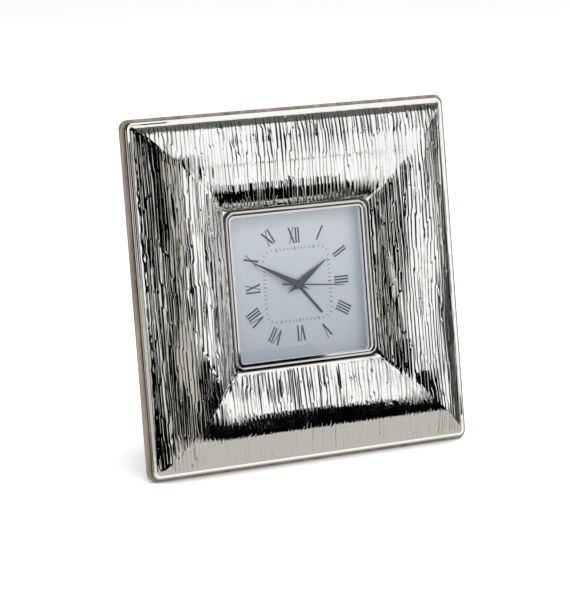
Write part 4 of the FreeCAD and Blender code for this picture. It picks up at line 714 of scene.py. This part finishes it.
def track_reach(turns):
    """Distance from the axis to the minute track, a square with rounded corners."""
    out, _ = clock_axes(turns)
    reach = square_reach(turns, TRACK_SQUARE_HALF)
    core = TRACK_SQUARE_HALF - TRACK_CORNER
    if min(abs(out[0]), abs(out[1])) * reach > core:
        abreast = core * (abs(out[0]) + abs(out[1]))
        reach = abreast + math.sqrt(abreast * abreast - (2 * core * core - TRACK_CORNER * TRACK_CORNER))
    return reach


def build_numerals():
    strokes = []
    for hour, numeral in enumerate(NUMERALS):
        turns = hour / 12
        middle = square_reach(turns, NUMERAL_SQUARE_HALF)
        pen = -sum(LETTER_ADVANCE_SHARES[letter] for letter in numeral) / 2
        for letter in numeral:
            advance = LETTER_ADVANCE_SHARES[letter]
            pen += advance / 2
            for outline in letter_strokes(letter):
                strokes.append(printed([
                    on_dial(turns, middle + (y - 0.5) * NUMERAL_HEIGHT, (pen + x) * NUMERAL_HEIGHT)
                    for x, y in outline
                ]))
            pen += advance / 2
    points, faces = joined(strokes)
    new_piece("dial_numerals", points, faces, INK)


def build_minute_track():
    # half width, length inwards and length outwards of the hours' ticks and of the others
    hour_tick, minute_tick = (0.21, 0.85, 0.75), (0.13, 0.65, 0.65)
    ticks = []
    for minute in range(60):
        turns = minute / 60
        half, inwards, outwards = minute_tick if minute % 5 else hour_tick
        inner, outer = track_reach(turns) - inwards, track_reach(turns) + outwards
        corners = [(inner, -half), (inner, half), (outer, half), (outer, -half)]
        ticks.append(printed([on_dial(turns, up, right) for up, right in corners]))
    points, faces = joined(ticks)
    new_piece("dial_minute_track", points, faces, INK)


# Hands

# Angle past twelve, back, and top of the hub of each hand, in degrees and as heights
HAND_PLACES = {
    "alarm": (141.0, -0.9, -0.7), "hour": (56.0, -0.4, -0.2),
    "minute": (298.5, 0.1, 0.3), "second": (96.0, 0.6, 0.8),
}
HUB_RADIUS = 2.1
SECOND_HUB_RADIUS = 1.5
CAP_RADIUS = 0.75
CAP_TOP = 0.95
HUB_CHAMFER = 0.06
RIDGE_HEIGHT = 0.26
ALARM_THICKNESS = 0.18
SECOND_THICKNESS = 0.16


def turned(points, angle):
    """Turns upright points clockwise about the clock's axis."""
    cosine, sine = math.cos(math.radians(angle)), math.sin(math.radians(angle))
    return [(x * cosine + v * sine, h, -x * sine + v * cosine) for x, h, v in points]


def disc_mesh(radius, low, high):
    """Points and faces of a disc with a chamfered front edge."""
    count = 48
    rings = ((low, radius), (high - HUB_CHAMFER, radius), (high, radius - HUB_CHAMFER))
    points, faces = [], []
    for level, reach in rings:
        for k in range(count):
            angle = 2 * math.pi * k / count
            points.append((reach * math.cos(angle), level, reach * math.sin(angle)))
    for ring in range(2):
        for k in range(count):
            a, b = ring * count + k, ring * count + (k + 1) % count
            faces.append((a, b, b + count, a + count))
    faces.append(tuple(range(2 * count, 3 * count)))
    return points, faces


def rim_faces():
    """Side faces between a back rim of four points and the front rim that follows it."""
    return [(k, (k + 1) % 4, (k + 1) % 4 + 4, k + 4) for k in range(4)]


def kite_mesh(length, tail, width, low, high):
    """A faceted dauphine hand with a ridge along its middle."""
    shoulder_share, edge_share, tail_bevel, tip_bevel = 0.9, 0.35, 0.5, 0.8
    shoulder = width * shoulder_share
    edge = low + (high - low) * edge_share
    rim = [(0, -tail), (width / 2, shoulder), (0, length), (-width / 2, shoulder)]
    points = [(x, low, v) for x, v in rim] + [(x, edge, v) for x, v in rim]
    points += [(0, high, -tail + tail_bevel), (0, high, length - tip_bevel)]
    faces = [(3, 2, 1, 0)] + rim_faces()
    faces += [(4, 5, 9, 8), (5, 6, 9), (6, 7, 9), (7, 4, 8, 9)]
    return points, faces


def slat_mesh(start, end, wide_start, wide_end, low, high):
    """A flat hand between two distances from the hub."""
    front_share = 0.6
    rim = [(-wide_start / 2, start), (wide_start / 2, start), (wide_end / 2, end), (-wide_end / 2, end)]
    points = [(x, low, v) for x, v in rim] + [(x * front_share, high, v) for x, v in rim]
    return points, [(3, 2, 1, 0), (4, 5, 6, 7)] + rim_faces()


def hand_parts(name):
    """The meshes that one hand is made of, pointing at twelve."""
    _, back, hub_top = HAND_PLACES[name]
    hub = disc_mesh(SECOND_HUB_RADIUS if name == "second" else HUB_RADIUS, back, hub_top)
    if name == "alarm":
        pointer = slat_mesh(0, 17.8, wide_start=1.15, wide_end=1.0, low=back, high=back + ALARM_THICKNESS)
        return [pointer, hub]
    if name == "hour":
        return [kite_mesh(length=18.9, tail=6.6, width=3.2, low=back, high=back + RIDGE_HEIGHT), hub]
    if name == "minute":
        return [kite_mesh(length=27.9, tail=6.0, width=2.8, low=back, high=back + RIDGE_HEIGHT), hub]
    front = back + SECOND_THICKNESS
    tail = slat_mesh(-8.6, 0, wide_start=0.8, wide_end=0.75, low=back, high=front)
    pointer = slat_mesh(0, 22.8, wide_start=0.75, wide_end=0.4, low=back, high=front)
    return [tail, pointer, hub, disc_mesh(CAP_RADIUS, hub_top, CAP_TOP)]


def build_hands():
    for name, (angle, _, _) in HAND_PLACES.items():
        points, faces = joined(hand_parts(name))
        piece = new_piece(f"{name}_hand_faceted", turned(points, angle), faces, LACQUER,
                          f"{name}_hand_body")
        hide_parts(f"{name}_hand")


# Stage, in metres

CEILING = 1.6
WALL_RADIUS = 1.6
HORIZON_LOW = -0.1
HORIZON_HIGH = 0.28


def mirror_card(name, points, faces, color):
    """A studio card that only mirrors see."""
    mesh = bpy.data.meshes.new(name)
    mesh.from_pydata(points, [], faces)
    piece = bpy.data.objects.new(name, mesh)
    bpy.context.scene.collection.objects.link(piece)
    material = bpy.data.materials.new(name)
    material.use_nodes = True
    tree = material.node_tree
    tree.nodes.clear()
    glow = tree.nodes.new("ShaderNodeEmission")
    glow.inputs["Color"].default_value = (*color, 1.0)
    output = tree.nodes.new("ShaderNodeOutputMaterial")
    tree.links.new(glow.outputs["Emission"], output.inputs["Surface"])
    mesh.materials.append(material)
    piece.visible_camera = False
    piece.visible_diffuse = False
    piece.visible_transmission = False
    piece.visible_volume_scatter = False
    piece.visible_shadow = False


def flat_card(name, corners, color):
    """A card with four corners."""
    mirror_card(name, corners, [(0, 1, 2, 3)], color)


def level_card(name, across, deep, height, color):
    """A card lying level, between two places in x and two in y."""
    corners = [(across[0], deep[0]), (across[1], deep[0]), (across[1], deep[1]), (across[0], deep[1])]
    flat_card(name, [(x, y, height) for x, y in corners], color)


def leaning_card(name, across, near, far, color):
    """A card between two places in x, and from one place in y and z up to another."""
    left, right = across
    flat_card(name, [(left, *near), (right, *near), (right, *far), (left, *far)], color)


def compass_place(degrees, reach):
    """A place in x and y by its compass angle, from 0 in front towards the right."""
    angle = math.radians(degrees)
    return reach * math.sin(angle), -reach * math.cos(angle)


def curved_card(name, first, last, low, high, color):
    """A card round the clock between two compass angles and two heights."""
    count = 16
    points = []
    for k in range(count + 1):
        x, y = compass_place(first + (last - first) * k / count, WALL_RADIUS)
        points += [(x, y, low), (x, y, high)]
    faces = [(2 * k, 2 * k + 2, 2 * k + 3, 2 * k + 1) for k in range(count)]
    mirror_card(name, points, faces, color)


def floor_wedge(name, first, last, color):
    """A card on the floor between two compass angles, running away from the clock to the wall."""
    near, height = 0.12, 0.0005
    places = ((first, near), (last, near), (last, WALL_RADIUS), (first, WALL_RADIUS))
    flat_card(name, [(*compass_place(degrees, reach), height) for degrees, reach in places], color)


def build_floor():
    reach, sunk, patches = 30.0, 0.0002, 4.0
    shader = Shader("studio_floor", (0.95, 0.95, 0.95), 0.0, 0.6)
    shader.tint(shader.noise(patches), 0.995, 1.005)
    mesh = bpy.data.meshes.new("studio_floor")
    corners = [(-reach, -reach, 0), (reach, -reach, 0), (reach, reach, 0), (-reach, reach, 0)]
    mesh.from_pydata(corners, [], [(0, 1, 2, 3)])
    mesh.materials.append(shader.material)
    floor = bpy.data.objects.new("studio_floor", mesh)
    floor.location.z = -sunk
    bpy.context.scene.collection.objects.link(floor)
    floor.visible_glossy = False


def soft_light(name, place, aim, size, power):
    """An area light that mirrors don't see."""
    light = bpy.data.lights.new(name, "AREA")
    light.shape = "RECTANGLE"
    light.size, light.size_y = size
    light.energy = power
    lamp = bpy.data.objects.new(name, light)
    lamp.location = place
    lamp.rotation_euler = (Vector(aim) - Vector(place)).to_track_quat("-Z", "Y").to_euler()
    lamp.visible_camera = False
    lamp.visible_glossy = False
    bpy.context.scene.collection.objects.link(lamp)


def build_lighting():
    world = bpy.data.worlds.new("studio")
    bpy.context.scene.world = world
    world.use_nodes = True
    background = world.node_tree.nodes["Background"]
    background.inputs["Color"].default_value = (1.0, 1.0, 1.0, 1.0)
    background.inputs["Strength"].default_value = 1.02
    world.cycles_visibility.glossy = False
    bpy.context.scene.view_settings.view_transform = "Standard"
    soft_light("overhead_softbox", (0.1, -0.35, 1.3), (0, 0, 0.05), size=(1.4, 1.0), power=16.0)
    soft_light("right_softbox", (1.0, -0.7, 0.6), (0, 0, 0.08), size=(0.6, 0.9), power=6.0)


def build_cards():
    """What the silver mirrors: panels, and dark gaps between them, as in a photographer's tent."""
    white, soft = (1.0, 1.0, 1.0), (0.72, 0.72, 0.7)
    cream, grey = (0.52, 0.505, 0.465), (0.28, 0.28, 0.27)
    shade, dark, black = (0.13, 0.13, 0.125), (0.06, 0.06, 0.058), (0.0, 0.0, 0.0)

    # ceiling and high walls
    level_card("top_card", (0.25, 1.3), (-2.0, 0.35), CEILING, white)
    curved_card("high_front_card", 2.0, 50.0, HORIZON_HIGH, 1.7, white)
    curved_card("high_back_card", 110.0, 190.0, HORIZON_HIGH, CEILING, shade)
    level_card("top_back_card", (-0.3, 1.9), (0.35, 2.4), CEILING, shade)

    # strips all round at the clock's own height, which are only low where the front wall is white
    front_start, front_end, front_low = -6, 58, 0.08
    strips = [
        (-112, -93, cream), (-93, -62, black), (-62, -46, soft), (-46, -16, black), (-16, -6, grey),
        (-6, 7, white), (7, 18, grey), (18, 30, white), (30, 41, grey), (41, 58, white),
        (58, 69, black), (69, 85, soft), (85, 97, black), (97, 112, grey), (112, 250, dark),
    ]
    curved_card("low_front_card", front_start, front_end, front_low, HORIZON_HIGH, white)
    for number, (first, last, color) in enumerate(strips):
        high = front_low if front_start <= first < front_end else HORIZON_HIGH
        curved_card(f"strip_card_{number}", first, last, HORIZON_LOW, high, color)

    # floor, the later cards on top of the earlier ones
    level_card("floor_card", (-1.7, 1.7), (-1.7, 1.7), -0.001, white)
    level_card("near_floor_card", (-0.6, 0.6), (-0.1, 0.5), 0.0, cream)
    level_card("left_floor_card", (-1.6, -0.09), (-1.6, -0.1), 0.0, cream)
    floor_wedge("left_floor_flag", -93, -62, black)
    floor_wedge("right_floor_flag", 70, 150, dark)

    # dark flags low in front give the black bands, the middle one reaching further
    near, low_far, high_far = (-0.048, 0.012), (-0.088, 0.04), (-0.112, 0.058)
    leaning_card("low_left_flag", (-0.045, -0.01), near, low_far, black)
    leaning_card("low_middle_flag", (-0.01, 0.05), near, high_far, black)
    leaning_card("low_right_flag", (0.05, 0.09), near, low_far, black)

    # a narrow panel and flag stand before the left side's crest
    foot, head = (-0.055, 0.013), (-0.045, 0.155)
    leaning_card("left_panel", (-0.068, -0.052), foot, head, cream)
    leaning_card("left_flag", (-0.052, -0.039), foot, head, black)


def build_camera():
    """The camera, solved from the frame's and the opening's corners in the photo."""
    target_x, target_z = -0.01375, 0.07839
    azimuth, elevation, distance = math.radians(-26.026), math.radians(13.858), 1.1796
    foot = to_world([(0.0, 0.0, -FRAME_HALF)])[0]
    target = Vector((target_x, foot[1], target_z))
    level = math.cos(elevation)
    back = Vector((math.sin(azimuth) * level, -math.cos(azimuth) * level, math.sin(elevation)))
    data = bpy.data.cameras.new("photo_camera")
    data.sensor_width = 36.0
    data.lens = 162.1
    data.clip_start, data.clip_end = 0.01, 50.0
    camera = bpy.data.objects.new("photo_camera", data)
    camera.location = target + back * distance
    camera.rotation_euler = (-back).to_track_quat("-Z", "Y").to_euler()
    bpy.context.scene.collection.objects.link(camera)
    bpy.context.scene.camera = camera


build_moulding()
build_numerals()
build_minute_track()
build_hands()
build_floor()
build_lighting()
build_cards()
build_camera()
